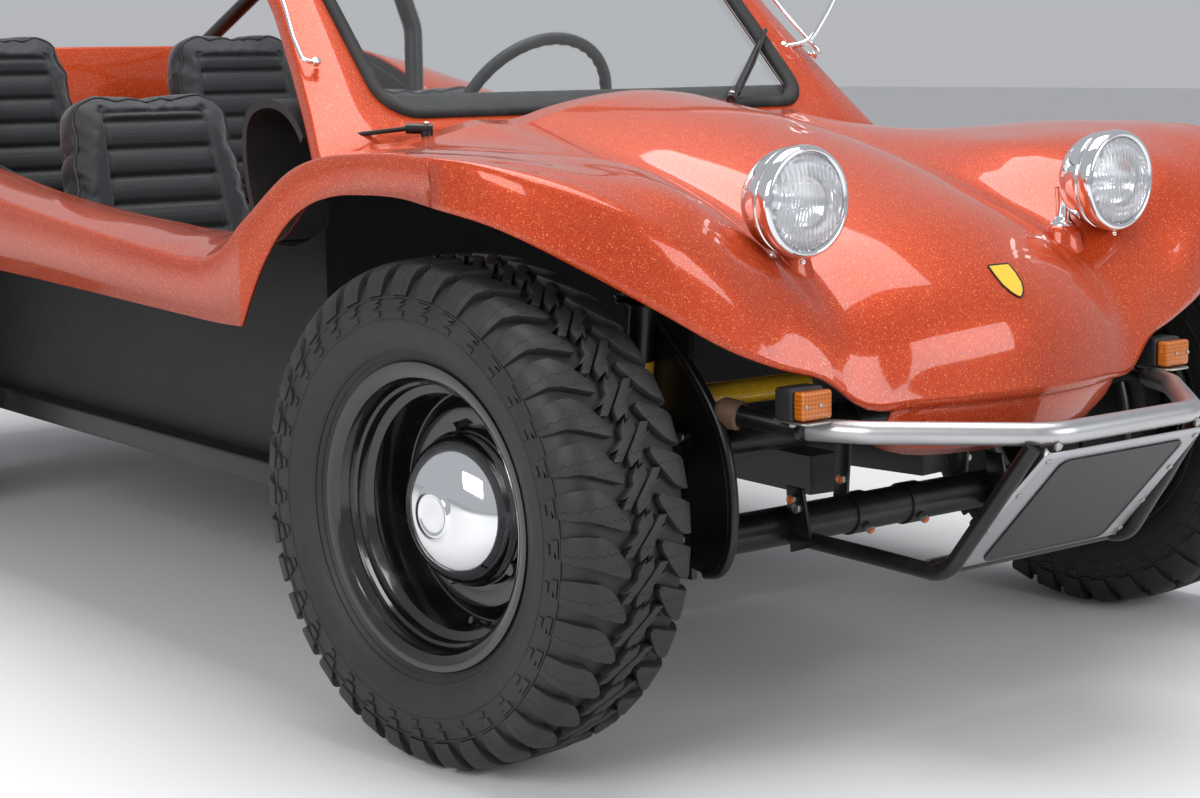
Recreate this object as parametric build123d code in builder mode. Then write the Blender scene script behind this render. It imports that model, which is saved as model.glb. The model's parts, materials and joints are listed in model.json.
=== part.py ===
# Dune buggy on a lengthened platform chassis, four seats, rear engine. Millimetres, +X forward, +Y left, +Z up.
# The ground is z = 0. Places along the car are given from the front axle and carried to the frame by front_axle_x.
import os
from math import atan2, cos, hypot, radians, sin, sqrt

from build123d import *

os.makedirs("parts", exist_ok=True)

# ---- Overall layout
wheelbase = 2400
front_overhang = 616
rear_overhang = 700
front_axle_x = (wheelbase + rear_overhang - front_overhang) / 2
rear_axle_from_front = -wheelbase
clearance = 0.6  # gap left between fitted pieces
body_wall = 9  # thickness of the moulded body
steer_rest = 6.0  # how far the front wheels point to the left as the car is parked, degrees

# ---- Tyres and wheels
tyre_radius = 362
tyre_half_width = 110
tread_half_width = 88
lug_depth = 13
lug_count = 18
lug_length = 50
lug_inner_y = 10
lug_face = sqrt(tyre_radius**2 - (lug_length / 2) ** 2)  # flat face of a lug whose corners reach the radius
axle_z = lug_face
flange_radius = 218
bead_radius = 200
drop_radius = 172
rim_half_width = 78
disc_offset = -12  # outer face of the wheel disc, out from the wheel's middle
hub_cap_radius = 110
hub_cap_height = 62
drum_radius = 122
drum_back = -72  # back of the drum, out from the wheel's middle
spindle_radius = 23.4
front_wheel_y = 718
rear_wheel_y = 750
kingpin_y = 560

# ---- Body lines
cowl_x = -478
pod_rear_x = -1950
body_half_width = 800
rear_body_half_width = 872
cockpit_half_width = 607
tub_wall = 8
tub_half_width = 600
floor_z = 300
floor_thickness = 12
platform_z = 500
firewall_x = -560


def lengthwise(y):
    """Plane at y whose first axis runs forward from the front axle and whose second axis runs up."""
    return Plane(origin=(front_axle_x, y, 0), x_dir=(1, 0, 0), z_dir=(0, -1, 0))


def crosswise(x):
    """Plane across the car at x from the front axle, first axis to the left, second up."""
    return Plane(origin=(front_axle_x + x, 0, 0), x_dir=(0, 1, 0), z_dir=(1, 0, 0))


def level(z):
    """Level plane at height z, first axis forward from the front axle, second to the left."""
    return Plane(origin=(front_axle_x, 0, z), x_dir=(1, 0, 0), z_dir=(0, 0, 1))


def at(x, y, z):
    """A point given from the front axle."""
    return Vector(front_axle_x + x, y, z)


def inset(points, wall):
    """The open line through points, moved by wall to its right-hand side as it runs."""
    moved = []
    for i, (x, z) in enumerate(points):
        before = points[max(i - 1, 0)]
        after = points[min(i + 1, len(points) - 1)]
        sides = []
        for a, b in ((before, (x, z)), ((x, z), after)):
            run = hypot(b[0] - a[0], b[1] - a[1])
            if run > 0:
                sides.append(((b[1] - a[1]) / run, -(b[0] - a[0]) / run))
        nx = sum(s[0] for s in sides) / len(sides)
        nz = sum(s[1] for s in sides) / len(sides)
        size = nx * nx + nz * nz
        moved.append((x + wall * nx / size, z + wall * nz / size))
    return moved


def dome_points(base, radius, height):
    """Edge, middle and tip of a part-sphere whose axis is the first axis of the plane."""
    ball = (radius * radius + height * height) / (2 * height)
    middle = atan2(radius, ball - height) / 2
    return (base, radius), (base + height - ball + ball * cos(middle), ball * sin(middle)), (base + height, 0)


def bent_sheet(points, wall, straight=1):
    """Closed outline of a sheet of the given wall: straight edges first, then one smooth curve."""
    inner = inset(points, wall)
    for a, b in zip(points[:straight], points[1:straight + 1]):
        Line(a, b)
    Spline(*points[straight:])
    Line(points[-1], inner[-1])
    Spline(*reversed(inner[straight:]))
    for a, b in zip(reversed(inner[:straight]), reversed(inner[1:straight + 1])):
        Line(b, a)
    Line(inner[0], points[0])


def folded_sheet(points, wall):
    """Closed outline of a sheet of the given wall that follows straight lines through points."""
    Polyline(*points, *reversed(inset(points, wall)), close=True)


# ---- Front body: lengthwise sections from the nose to the cowl, one row for each place across the car.
# columns: y, lip x, lip z, crease x, crease z, brow x, brow z, top x, top z, rise x, rise z, end x, end z
nose_sections = (
    (0, 443, 497, 417, 615, 305, 722, 110, 808, -160, 886, cowl_x, 932),
    (100, 432, 497, 406, 610, 300, 715, 110, 800, -160, 877, cowl_x, 925),
    (200, 405, 497, 381, 598, 285, 697, 110, 772, -160, 848, cowl_x, 908),
    (285, 379, 500, 353, 583, 262, 675, 100, 745, -170, 822, cowl_x, 888),
    (350, 362, 545, 345, 603, 272, 698, 125, 770, -180, 828, cowl_x, 872),
    (420, 350, 566, 331, 636, 262, 745, 115, 815, -180, 840, cowl_x, 860),
    (500, 338, 597, 321, 700, 265, 782, 140, 832, -170, 848, cowl_x, 856),
    (600, 308, 655, 295, 766, 232, 812, 95, 846, -240, 855, cowl_x, 836),
    (700, 243, 722, 228, 819, 155, 846, 20, 860, -280, 851, cowl_x, 795),
    (765, 172, 768, 158, 845, 92, 857, -50, 863, -290, 845, cowl_x, 762),
    (body_half_width, 70, 793, 58, 857, 5, 862, -110, 862, -300, 836, cowl_x, 741),
)
band_step = 0.5  # the band stands in from the trimmed edge of the moulding
# columns: x, z of the wheel-arch lip and of the crease above it, on the outer face of the fender
front_arch_lip = ((70, 793), (0, 802), (-110, 803), (-196, 797), (-262, 782), (-330, 750), (-400, 690), (-448, 630),
                  (cowl_x, 584))
valance_wall = 5
lamp_pad_x = 227
lamp_pad_y = 294
lamp_pad_z = 714
lamp_pad_radius = 27


def nose_outline(row):
    """The points of one lengthwise section."""
    return [(row[i], row[i + 1]) for i in range(1, 13, 2)]


with BuildPart() as front_body:
    # the upright band of each fender, between the wheel-arch lip and the crease above it
    band_top = inset(nose_outline(nose_sections[-1])[::-1], body_wall / 2)[:-1]
    for y in (-body_half_width + body_wall, body_half_width - band_step):
        with BuildSketch(lengthwise(y)):
            with BuildLine():
                Spline(*band_top)
                Line(band_top[-1], front_arch_lip[0])
                Spline(*front_arch_lip)
                Line(front_arch_lip[-1], band_top[0])
            make_face()
        extrude(amount=body_wall - band_step)
    # round pads that the lamps stand on
    with BuildSketch(level(lamp_pad_z)):
        with Locations((lamp_pad_x, lamp_pad_y), (lamp_pad_x, -lamp_pad_y)):
            Circle(lamp_pad_radius)
    extrude(amount=-26)
    # the valance that turns back under the nose
    for y, lip_x in ((-240, 391), (-200, 405), (-100, 432), (0, 443), (100, 432), (200, 405), (240, 391)):
        with BuildSketch(lengthwise(y)):
            with BuildLine():
                folded_sheet(((lip_x - 5, 512), (lip_x - 20, 456), (lip_x - 66, 412)), valance_wall)
            make_face()
    loft(ruled=True)
    # the skin itself, from the left fender over the hood to the right one
    stations = [(-row[0], row) for row in reversed(nose_sections[1:])] + [(row[0], row) for row in nose_sections]
    for y, row in stations:
        with BuildSketch(lengthwise(y)):
            with BuildLine():
                bent_sheet(nose_outline(row)[::-1], body_wall, 0)
            make_face()
    loft(ruled=True)
front_body.part.label = "front_body"
export_step(front_body.part, "parts/front_body.step")

# ---- Side pods: crosswise sections of the body side from the front fender to the rear one.
# columns: x, lower y, lower z, crease y, crease z, shoulder y, shoulder z, cockpit edge y, cockpit edge z
pod_sections = (
    (cowl_x - clearance, 800, 584, 800, 740, 655, 815, 508, 856),
    (-540, 800, 583, 800, 700, 680, 780, 556, 846),
    (-600, 800, 584, 800, 680, 700, 737, 592, 790),
    (-665, 800, 586, 800, 677, 705, 712, cockpit_half_width, 727),
    (-800, 800, 590, 800, 686, 705, 703, cockpit_half_width, 704),
    (-1060, 800, 598, 800, 708, 705, 716, cockpit_half_width, 707),
    (-1390, 802, 607, 802, 740, 705, 742, cockpit_half_width, 726),
    (-1700, 818, 616, 818, 776, 710, 778, cockpit_half_width, 760),
    (pod_rear_x, 862, 628, 862, 825, 735, 825, cockpit_half_width, 806),
)
pod_flange = 26


def pod_outline(row, side):
    """The five corners of one pod section at side +1 (left) or -1 (right)."""
    corners = [(side * row[i], row[i + 1]) for i in range(1, 9, 2)]
    return corners + [(corners[-1][0], corners[-1][1] - pod_flange)]


with BuildPart() as side_pod_left:
    for row in pod_sections:
        with BuildSketch(crosswise(row[0])):
            with BuildLine():
                folded_sheet(pod_outline(row, 1), -body_wall)
            make_face()
    loft(ruled=True)
side_pod_left.part.label = "side_pod_left"
export_step(side_pod_left.part, "parts/side_pod_left.step")

with BuildPart() as side_pod_right:
    for row in pod_sections:
        with BuildSketch(crosswise(row[0])):
            with BuildLine():
                folded_sheet(pod_outline(row, -1), body_wall)
            make_face()
    loft(ruled=True)
side_pod_right.part.label = "side_pod_right"
export_step(side_pod_right.part, "parts/side_pod_right.step")

# ---- Rear body: fenders over the rear wheels, and the wall and deck behind the rear seats.
rear_start = pod_rear_x - clearance
# columns: y, then x and z of six points from the pod back to the tail
tail_sections = (
    (cockpit_half_width, rear_start, 806, -2120, 925, -2330, 1000, -2560, 1028, -2790, 1030, -2985, 930),
    (700, rear_start, 816, -2120, 918, -2330, 982, -2560, 995, -2790, 962, -2965, 850),
    (800, rear_start, 824, -2120, 902, -2330, 950, -2560, 945, -2775, 885, -2935, 765),
    (rear_body_half_width, rear_start, 826, -2120, 886, -2330, 925, -2560, 915, -2760, 845, -2905, 725),
)
rear_arch_lip = ((rear_start, 628), (-1990, 672), (-2080, 744), (-2220, 800), (-2400, 818), (-2590, 796),
                 (-2740, 730), (-2840, 640))
rear_wall_line = ((-2715, 520), (-2760, 860), (-2790, 1030), (-2880, 1005), (-2985, 930), (-3040, 800))


def tail_outline(row):
    """The points of one lengthwise section of the rear fender."""
    return [(row[i], row[i + 1]) for i in range(1, 13, 2)]


with BuildPart() as rear_body:
    for side in (-1, 1):
        for row in tail_sections:
            with BuildSketch(lengthwise(side * row[0])):
                with BuildLine():
                    bent_sheet(tail_outline(row), -body_wall, 0)
                make_face()
        loft()
    band_top = inset(tail_outline(tail_sections[-1]), -body_wall / 2)
    for y in (-rear_body_half_width + body_wall, rear_body_half_width - band_step):
        with BuildSketch(lengthwise(y)):
            with BuildLine():
                Spline(*band_top)
                Line(band_top[-1], rear_arch_lip[-1])
                Spline(*reversed(rear_arch_lip))
                Line(rear_arch_lip[0], band_top[0])
            make_face()
        extrude(amount=body_wall - band_step)
    with BuildSketch(lengthwise(cockpit_half_width)):
        with BuildLine():
            folded_sheet(rear_wall_line, body_wall)
        make_face()
    extrude(amount=2 * cockpit_half_width)
rear_body.part.label = "rear_body"
export_step(rear_body.part, "parts/rear_body.step")

# ---- Windscreen: a body-coloured surround leaning back over the cowl, glass with a rubber seal.
screen_foot_x = -522
screen_foot_z = 865
screen_rake = 45  # from level, degrees
screen_thickness = 30
screen_slope = Plane(
    origin=at(screen_foot_x, 0, screen_foot_z),
    x_dir=(0, 1, 0),
    z_dir=(sin(radians(screen_rake)), 0, cos(radians(screen_rake))),
)
surround_height = 690
surround_outline = ((-488, -26), (488, -26), (488, 4), (568, 8), (558, 120), (545, 330), (525, surround_height),
                    (-525, surround_height), (-545, 330), (-558, 120), (-568, 8), (-488, 4))
glass_opening = ((-466, 52), (466, 52), (452, surround_height - 46), (-452, surround_height - 46))
glass_corner = 60
glass_thickness = 5
seal_width = 14
seal_thickness = 22

with BuildPart() as windscreen_surround:
    with BuildSketch(screen_slope):
        Polygon(*surround_outline, align=None)
        with BuildLine():
            FilletPolyline(*glass_opening, radius=glass_corner, close=True)
        make_face(mode=Mode.SUBTRACT)
    extrude(amount=-screen_thickness)
windscreen_surround.part.label = "windscreen_surround"
export_step(windscreen_surround.part, "parts/windscreen_surround.step")

with BuildPart() as windscreen_glass:
    with BuildSketch(screen_slope.offset(-(screen_thickness - glass_thickness) / 2)):
        with BuildLine():
            glass_edge = FilletPolyline(*glass_opening, radius=glass_corner, close=True)
            offset(glass_edge, amount=-seal_width / 2 - clearance, mode=Mode.REPLACE)
        make_face()
    extrude(amount=-glass_thickness)
windscreen_glass.part.label = "windscreen_glass"
export_step(windscreen_glass.part, "parts/windscreen_glass.step")

with BuildPart() as windscreen_seal:
    with BuildSketch(screen_slope.offset(-(screen_thickness - seal_thickness) / 2)):
        with BuildLine():
            seal_edge = FilletPolyline(*glass_opening, radius=glass_corner, close=True)
            offset(seal_edge, amount=-clearance, mode=Mode.REPLACE)
        make_face()
        with BuildLine():
            seal_inner = FilletPolyline(*glass_opening, radius=glass_corner, close=True)
            offset(seal_inner, amount=-seal_width, mode=Mode.REPLACE)
        make_face(mode=Mode.SUBTRACT)
    extrude(amount=-seal_thickness)
    with BuildSketch(screen_slope.offset(-(screen_thickness - glass_thickness) / 2 + clearance)):
        with BuildLine():
            groove_edge = FilletPolyline(*glass_opening, radius=glass_corner, close=True)
            offset(groove_edge, amount=-seal_width / 2, mode=Mode.REPLACE)
        make_face()
    extrude(amount=-glass_thickness - 2 * clearance, mode=Mode.SUBTRACT)
windscreen_seal.part.label = "windscreen_seal"
export_step(windscreen_seal.part, "parts/windscreen_seal.step")

# ---- Tub: floor with centre tunnel and rear platform, firewall, side panels and sill rails.
floor_front_x = -450
platform_front_x = -2010
tub_rear_x = -2690
tunnel_half_width = 85
tunnel_height = 140
sill_width = 44
sill_height = 45
sill_bottom_z = 276

with BuildPart() as floor_pan:
    with BuildSketch(lengthwise(tub_half_width - tub_wall - clearance)):
        Polygon(
            (floor_front_x, floor_z),
            (floor_front_x, floor_z + floor_thickness),
            (platform_front_x - floor_thickness, floor_z + floor_thickness),
            (platform_front_x - floor_thickness, platform_z + floor_thickness),
            (tub_rear_x, platform_z + floor_thickness),
            (tub_rear_x, platform_z),
            (platform_front_x - 2 * floor_thickness, platform_z),
            (platform_front_x - 2 * floor_thickness, floor_z),
            align=None,
        )
    extrude(amount=2 * (tub_half_width - tub_wall - clearance))
    with BuildSketch(crosswise(firewall_x - clearance)):
        with BuildLine():
            Polyline(
                (-tunnel_half_width, floor_z + floor_thickness / 2),
                (-tunnel_half_width + 15, floor_z + tunnel_height),
                (tunnel_half_width - 15, floor_z + tunnel_height),
                (tunnel_half_width, floor_z + floor_thickness / 2),
                close=True,
            )
        make_face()
    extrude(amount=-(firewall_x - platform_front_x + floor_thickness))
floor_pan.part.label = "floor_pan"
export_step(floor_pan.part, "parts/floor_pan.step")

with BuildPart() as firewall:
    with BuildSketch(crosswise(firewall_x)):
        with BuildLine():
            Polyline(
                (-tub_half_width + tub_wall + clearance, floor_z + floor_thickness + clearance),
                (-tub_half_width + tub_wall + clearance, 775),
                (-490, 834),
                (490, 834),
                (tub_half_width - tub_wall - clearance, 775),
                (tub_half_width - tub_wall - clearance, floor_z + floor_thickness + clearance),
                close=True,
            )
        make_face()
    extrude(amount=8)
firewall.part.label = "firewall"
export_step(firewall.part, "parts/firewall.step")

# columns: x, z along the top edge of the side panels, just under the edge of the body
tub_top_edge = ((-552, 720), (-600, 700), (-655, 684), (-800, 684), (-1060, 697), (-1390, 716), (-1700, 750),
                (pod_rear_x, 792), (-2120, 905), (-2330, 980), (-2560, 1008), (tub_rear_x, 1010))
tub_side_outline = ((-552, floor_z - 8),) + tub_top_edge + ((tub_rear_x, 470), (-2150, 470), (-2150, floor_z - 8))

with BuildPart() as tub_side_left:
    with BuildSketch(lengthwise(tub_half_width)):
        Polygon(*tub_side_outline, align=None)
    extrude(amount=tub_wall)
tub_side_left.part.label = "tub_side_left"
export_step(tub_side_left.part, "parts/tub_side_left.step")

with BuildPart() as tub_side_right:
    with BuildSketch(lengthwise(-tub_half_width)):
        Polygon(*tub_side_outline, align=None)
    extrude(amount=-tub_wall)
tub_side_right.part.label = "tub_side_right"
export_step(tub_side_right.part, "parts/tub_side_right.step")

with BuildPart() as sill_rails:
    for side in (-1, 1):
        with BuildSketch(crosswise(-500)):
            with Locations((side * (tub_half_width + clearance + sill_width / 2), sill_bottom_z + sill_height / 2)):
                RectangleRounded(sill_width, sill_height, 6)
        extrude(amount=-1520)
sill_rails.part.label = "sill_rails"
export_step(sill_rails.part, "parts/sill_rails.step")

# ---- Dashboard, levers and pedals
dash_line = ((-628, 866), (-690, 918), (-760, 926), (-822, 898), (-836, 840), (-815, 740), (-790, 680))
with BuildPart() as dashboard:
    with BuildSketch(lengthwise(tub_half_width - tub_wall - clearance)):
        with BuildLine():
            bent_sheet(dash_line, -14, 0)
        make_face()
    extrude(amount=2 * (tub_half_width - tub_wall - clearance))
dashboard.part.label = "dashboard"
export_step(dashboard.part, "parts/dashboard.step")

# columns: x, y of the foot, lean back in mm, height, radius of the knob
lever_rows = ((-1010, 0, 60, 250, 22), (-1330, 0, -190, 130, 15))
tunnel_top_z = floor_z + tunnel_height
with BuildPart() as levers:
    for x, y, lean, height, knob in lever_rows:
        with BuildLine() as lever_line:
            Line(at(x, y, tunnel_top_z + 8), at(x - lean, y, tunnel_top_z + height))
        with BuildSketch(Plane(origin=lever_line.line @ 0, z_dir=lever_line.line % 0)):
            Circle(8)
        sweep(path=lever_line.line)
        with Locations(at(x - lean, y, tunnel_top_z + height)):
            Sphere(knob)
        with Locations(at(x, y, tunnel_top_z + clearance + 6)):
            Cylinder(26, 12)
levers.part.label = "levers"
export_step(levers.part, "parts/levers.step")

pedal_y = (190, 280, 420)
with BuildPart() as pedals:
    for y in pedal_y:
        with BuildSketch(lengthwise(y + 6)):
            Polygon(
                (-700, floor_z + floor_thickness + clearance),
                (-680, floor_z + floor_thickness + clearance),
                (-716, 500),
                (-736, 500),
                align=None,
            )
        extrude(amount=12)
        with Locations(Location(at(-738, y, 490), (0, 10, 0))):
            Box(14, 60, 62)
pedals.part.label = "pedals"
export_step(pedals.part, "parts/pedals.step")

# ---- Seats: plain closed cushions and backs; the front pair on low bases on the floor.
front_seat_y = 340
front_seat_width = 460
rear_seat_y = 320
rear_seat_width = 410
seat_base_height = 44
front_seat_z = floor_z + floor_thickness + seat_base_height + 2 * clearance
rear_seat_z = platform_z + floor_thickness + clearance
front_seat_profile = ((-1215, front_seat_z), (-1205, front_seat_z + 130), (-1560, front_seat_z + 120),
                      (-1690, 950), (-1790, 925), (-1680, front_seat_z + 60), (-1640, front_seat_z))
rear_seat_profile = ((-2050, rear_seat_z), (-2040, rear_seat_z + 120), (-2410, rear_seat_z + 110),
                     (-2520, 1060), (-2625, 1040), (-2545, rear_seat_z + 60), (-2520, rear_seat_z))

with BuildPart() as seat_front_left:
    with BuildSketch(lengthwise(front_seat_y + front_seat_width / 2)):
        Polygon(*front_seat_profile, align=None)
    extrude(amount=front_seat_width)
    fillet(seat_front_left.edges().filter_by(Axis.Y), 18)
seat_front_left.part.label = "seat_front_left"
export_step(seat_front_left.part, "parts/seat_front_left.step")

with BuildPart() as seat_front_right:
    with BuildSketch(lengthwise(-front_seat_y + front_seat_width / 2)):
        Polygon(*front_seat_profile, align=None)
    extrude(amount=front_seat_width)
    fillet(seat_front_right.edges().filter_by(Axis.Y), 18)
seat_front_right.part.label = "seat_front_right"
export_step(seat_front_right.part, "parts/seat_front_right.step")

with BuildPart() as seat_rear_left:
    with BuildSketch(lengthwise(rear_seat_y + rear_seat_width / 2)):
        Polygon(*rear_seat_profile, align=None)
    extrude(amount=rear_seat_width)
    fillet(seat_rear_left.edges().filter_by(Axis.Y), 18)
seat_rear_left.part.label = "seat_rear_left"
export_step(seat_rear_left.part, "parts/seat_rear_left.step")

with BuildPart() as seat_rear_right:
    with BuildSketch(lengthwise(-rear_seat_y + rear_seat_width / 2)):
        Polygon(*rear_seat_profile, align=None)
    extrude(amount=rear_seat_width)
    fillet(seat_rear_right.edges().filter_by(Axis.Y), 18)
seat_rear_right.part.label = "seat_rear_right"
export_step(seat_rear_right.part, "parts/seat_rear_right.step")

with BuildPart() as seat_bases:
    for side in (-1, 1):
        with Locations(at(-1430, side * front_seat_y, floor_z + floor_thickness + clearance + seat_base_height / 2)):
            Box(400, 380, seat_base_height)
seat_bases.part.label = "seat_bases"
export_step(seat_bases.part, "parts/seat_bases.step")

# ---- Roll bar: one hoop behind the front seats and two stays down to the rear deck
roll_bar_radius = 22
hoop_x = -2060
hoop_y = 556
hoop_top_z = 1395
stay_foot_x = -2905
stay_y = 430
with BuildPart() as roll_bar:
    with BuildLine() as hoop_line:
        FilletPolyline(
            at(hoop_x, -hoop_y, platform_z + floor_thickness + clearance),
            at(hoop_x, -hoop_y, 1060),
            at(hoop_x, -stay_y, hoop_top_z),
            at(hoop_x, stay_y, hoop_top_z),
            at(hoop_x, hoop_y, 1060),
            at(hoop_x, hoop_y, platform_z + floor_thickness + clearance),
            radius=90,
        )
    with BuildSketch(Plane(origin=hoop_line.line @ 0, z_dir=hoop_line.line % 0)):
        Circle(roll_bar_radius)
    sweep(path=hoop_line.line)
    for side in (-1, 1):
        with BuildLine() as stay_line:
            Line(at(hoop_x, side * (stay_y - 10), hoop_top_z - 6), at(stay_foot_x, side * (stay_y - 10), 1026))
        with BuildSketch(Plane(origin=stay_line.line @ 0, z_dir=stay_line.line % 0)):
            Circle(roll_bar_radius - 3)
        sweep(path=stay_line.line)
roll_bar.part.label = "roll_bar"
export_step(roll_bar.part, "parts/roll_bar.step")

# ---- Front axle: beam of two tubes with side plates, trailing arms, dampers and steering knuckles
beam_x = 119
beam_low_z = 281
beam_high_z = 431
beam_radius = 30
beam_half_length = 446
tower_y = 424
tower_thickness = 10
tower_top_z = 672
beam_foot_x = floor_front_x + clearance

with BuildPart() as front_beam:
    for z in (beam_low_z, beam_high_z):
        with BuildSketch(Plane.XZ.offset(-beam_half_length)):
            with Locations((front_axle_x + beam_x, z)):
                Circle(beam_radius)
        extrude(amount=2 * beam_half_length)
    for side in (-1, 1):
        with BuildSketch(lengthwise(side * tower_y + tower_thickness / 2)):
            with BuildLine():
                Polyline(
                    (beam_x - 48, beam_low_z - 42),
                    (beam_x - 44, beam_high_z + 40),
                    (beam_x - 20, tower_top_z - 60),
                    (beam_x - 12, tower_top_z),
                    (beam_x + 28, tower_top_z),
                    (beam_x + 42, tower_top_z - 70),
                    (beam_x + 44, beam_high_z + 30),
                    (beam_x + 46, beam_low_z - 42),
                    close=True,
                )
            make_face()
        extrude(amount=tower_thickness)
        # frame horn from the beam back to the floor
        with BuildLine() as horn_line:
            Line(at(beam_x, side * 120, 350), at(beam_foot_x + 6, side * 70, 340))
        with BuildSketch(Plane(origin=horn_line.line @ 0, z_dir=horn_line.line % 0)):
            Rectangle(60, 60)
        sweep(path=horn_line.line)
front_beam.part.label = "front_beam"
export_step(front_beam.part, "parts/front_beam.step")

arm_inner_y = beam_half_length + clearance
arm_outer_y = 528
arm_radius = 20
with BuildPart() as front_arms:
    for side in (-1, 1):
        for z in (beam_low_z, beam_high_z):
            with BuildLine() as arm_line:
                Line(at(beam_x, side * (arm_inner_y + arm_radius), z), at(6, side * (arm_outer_y - 12), z))
            with BuildSketch(Plane(origin=arm_line.line @ 0, z_dir=arm_line.line % 0)):
                Rectangle(26, 34)
            sweep(path=arm_line.line)
            with BuildSketch(Plane.XZ.offset(-side * arm_inner_y)):
                with Locations((front_axle_x + beam_x, z)):
                    Circle(arm_radius)
            extrude(amount=-side * 34)
            with BuildSketch(level(z - 17)):
                with Locations((0, side * (arm_outer_y - 16))):
                    Circle(16)
            extrude(amount=34)
front_arms.part.label = "front_arms"
export_step(front_arms.part, "parts/front_arms.step")

damper_y = 452
with BuildPart() as front_dampers:
    for side in (-1, 1):
        with BuildLine() as damper_line:
            Line(at(beam_x - 33, side * damper_y, tower_top_z - 36), at(beam_x - 71, side * damper_y, 300))
        with BuildSketch(Plane(origin=damper_line.line @ 0, z_dir=damper_line.line % 0)):
            Circle(21)
        extrude(amount=190)
        with BuildSketch(Plane(origin=damper_line.line @ 0, z_dir=damper_line.line % 0)):
            Circle(9)
        sweep(path=damper_line.line)
front_dampers.part.label = "front_dampers"
export_step(front_dampers.part, "parts/front_dampers.step")


def wheel_plane(x, y, side, turn):
    """Plane at a wheel's middle: first axis out along the hub, second up. turn points it to the left."""
    out = Vector(-side * sin(radians(turn)), side * cos(radians(turn)), 0)
    return Plane(origin=at(x, y, axle_z), x_dir=out, z_dir=Vector(out.Y, -out.X, 0))


def front_wheel_plane(side):
    """The front wheel swings about its kingpin by steer_rest."""
    reach = front_wheel_y - kingpin_y
    turn = radians(steer_rest)
    return wheel_plane(-side * reach * sin(turn), side * (kingpin_y + reach * cos(turn)), side, steer_rest)


wheel_planes = {
    "front_left": front_wheel_plane(1),
    "front_right": front_wheel_plane(-1),
    "rear_left": wheel_plane(rear_axle_from_front, rear_wheel_y, 1, 0),
    "rear_right": wheel_plane(rear_axle_from_front, -rear_wheel_y, -1, 0),
}

rim_wall = 5
carcass_crown = tyre_radius - lug_depth
# places along the hub and radii of the tyre's flat-sided body, from the outer bead over the crown
carcass_half = (
    (rim_half_width - 6, flange_radius + 5), (rim_half_width + 4, flange_radius + 11), (tyre_half_width - 6, 262),
    (tyre_half_width - 6, 312), (tread_half_width - 6, carcass_crown),
)
# radii and places along the hub of a lug that runs over the shoulder and down the sidewall
lug_outline = (
    (carcass_crown - 10, lug_inner_y), (lug_face, lug_inner_y), (lug_face, tread_half_width - 20),
    (lug_face - 7, tread_half_width), (312, tyre_half_width), (312, tyre_half_width - 12),
)
with BuildPart() as tyre_form:
    for along, radius in carcass_half + tuple((-along, radius) for along, radius in reversed(carcass_half)):
        with BuildSketch(Plane.XY.offset(along)):
            RegularPolygon(radius, lug_count)
    loft(ruled=True)
    with BuildSketch(Plane.XY.offset(-tyre_half_width)):
        RegularPolygon(bead_radius + 6, lug_count)
    extrude(amount=2 * tyre_half_width, mode=Mode.SUBTRACT)
    for side in (-1, 1):
        for i in range(lug_count):
            turn = (i + (side + 1) / 4) * 360 / lug_count
            with BuildSketch(Plane.XZ.rotated((0, 0, turn))):
                Polygon(*[(radius, side * along) for radius, along in lug_outline], align=None)
            extrude(amount=lug_length / 2, both=True)

rim_line = (
    (-rim_half_width - 1, flange_radius), (-rim_half_width - 1, bead_radius + 2), (-rim_half_width + 12, bead_radius - 4),
    (-rim_half_width + 30, bead_radius - 8), (-rim_half_width + 42, drop_radius), (rim_half_width - 54, drop_radius),
    (rim_half_width - 44, drop_radius + 13), (rim_half_width - 26, drop_radius + 15),
    (rim_half_width - 20, bead_radius - 6), (rim_half_width - 5, bead_radius - 3), (rim_half_width + 1, bead_radius + 4),
    (rim_half_width + 1, flange_radius),
)
disc_line = ((disc_offset - 20, drop_radius - rim_wall / 2), (disc_offset - 6, drop_radius - 20), (disc_offset, 150),
             (disc_offset, 60))
hub_cap_skirt = 10

for place, plane in wheel_planes.items():
    hub_axis = Axis(plane.origin, plane.x_dir)
    with BuildPart() as tyre:
        with Locations(Plane(origin=plane.origin, x_dir=plane.y_dir, z_dir=plane.x_dir).location):
            add(tyre_form.part)
    tyre.part.label = "tyre_" + place
    export_step(tyre.part, "parts/tyre_" + place + ".step")

    with BuildPart() as rim:
        with BuildSketch(plane):
            with BuildLine():
                folded_sheet(rim_line, rim_wall)
            make_face()
        revolve(axis=hub_axis)
        with BuildSketch(plane):
            with BuildLine():
                folded_sheet(disc_line, rim_wall)
            make_face()
        revolve(axis=hub_axis)
    rim.part.label = "rim_" + place
    export_step(rim.part, "parts/rim_" + place + ".step")

    with BuildPart() as hub_cap:
        with BuildSketch(plane):
            with BuildLine():
                Line((disc_offset + clearance, 0), (disc_offset + clearance, hub_cap_radius))
                Line((disc_offset + clearance, hub_cap_radius), (disc_offset + hub_cap_skirt, hub_cap_radius))
                dome = dome_points(disc_offset + hub_cap_skirt, hub_cap_radius, hub_cap_height - hub_cap_skirt)
                ThreePointArc(*dome)
                Line(dome[2], (disc_offset + clearance, 0))
            make_face()
        revolve(axis=hub_axis)
    hub_cap.part.label = "hub_cap_" + place
    export_step(hub_cap.part, "parts/hub_cap_" + place + ".step")

    with BuildPart() as drum:
        with BuildSketch(plane):
            Polygon(
                (drum_back, spindle_radius + clearance),
                (drum_back, drum_radius),
                (disc_offset - rim_wall - 8, drum_radius),
                (disc_offset - rim_wall - clearance, drum_radius - 10),
                (disc_offset - rim_wall - clearance, spindle_radius + clearance),
                align=None,
            )
        revolve(axis=hub_axis)
    drum.part.label = "drum_" + place
    export_step(drum.part, "parts/drum_" + place + ".step")

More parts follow.
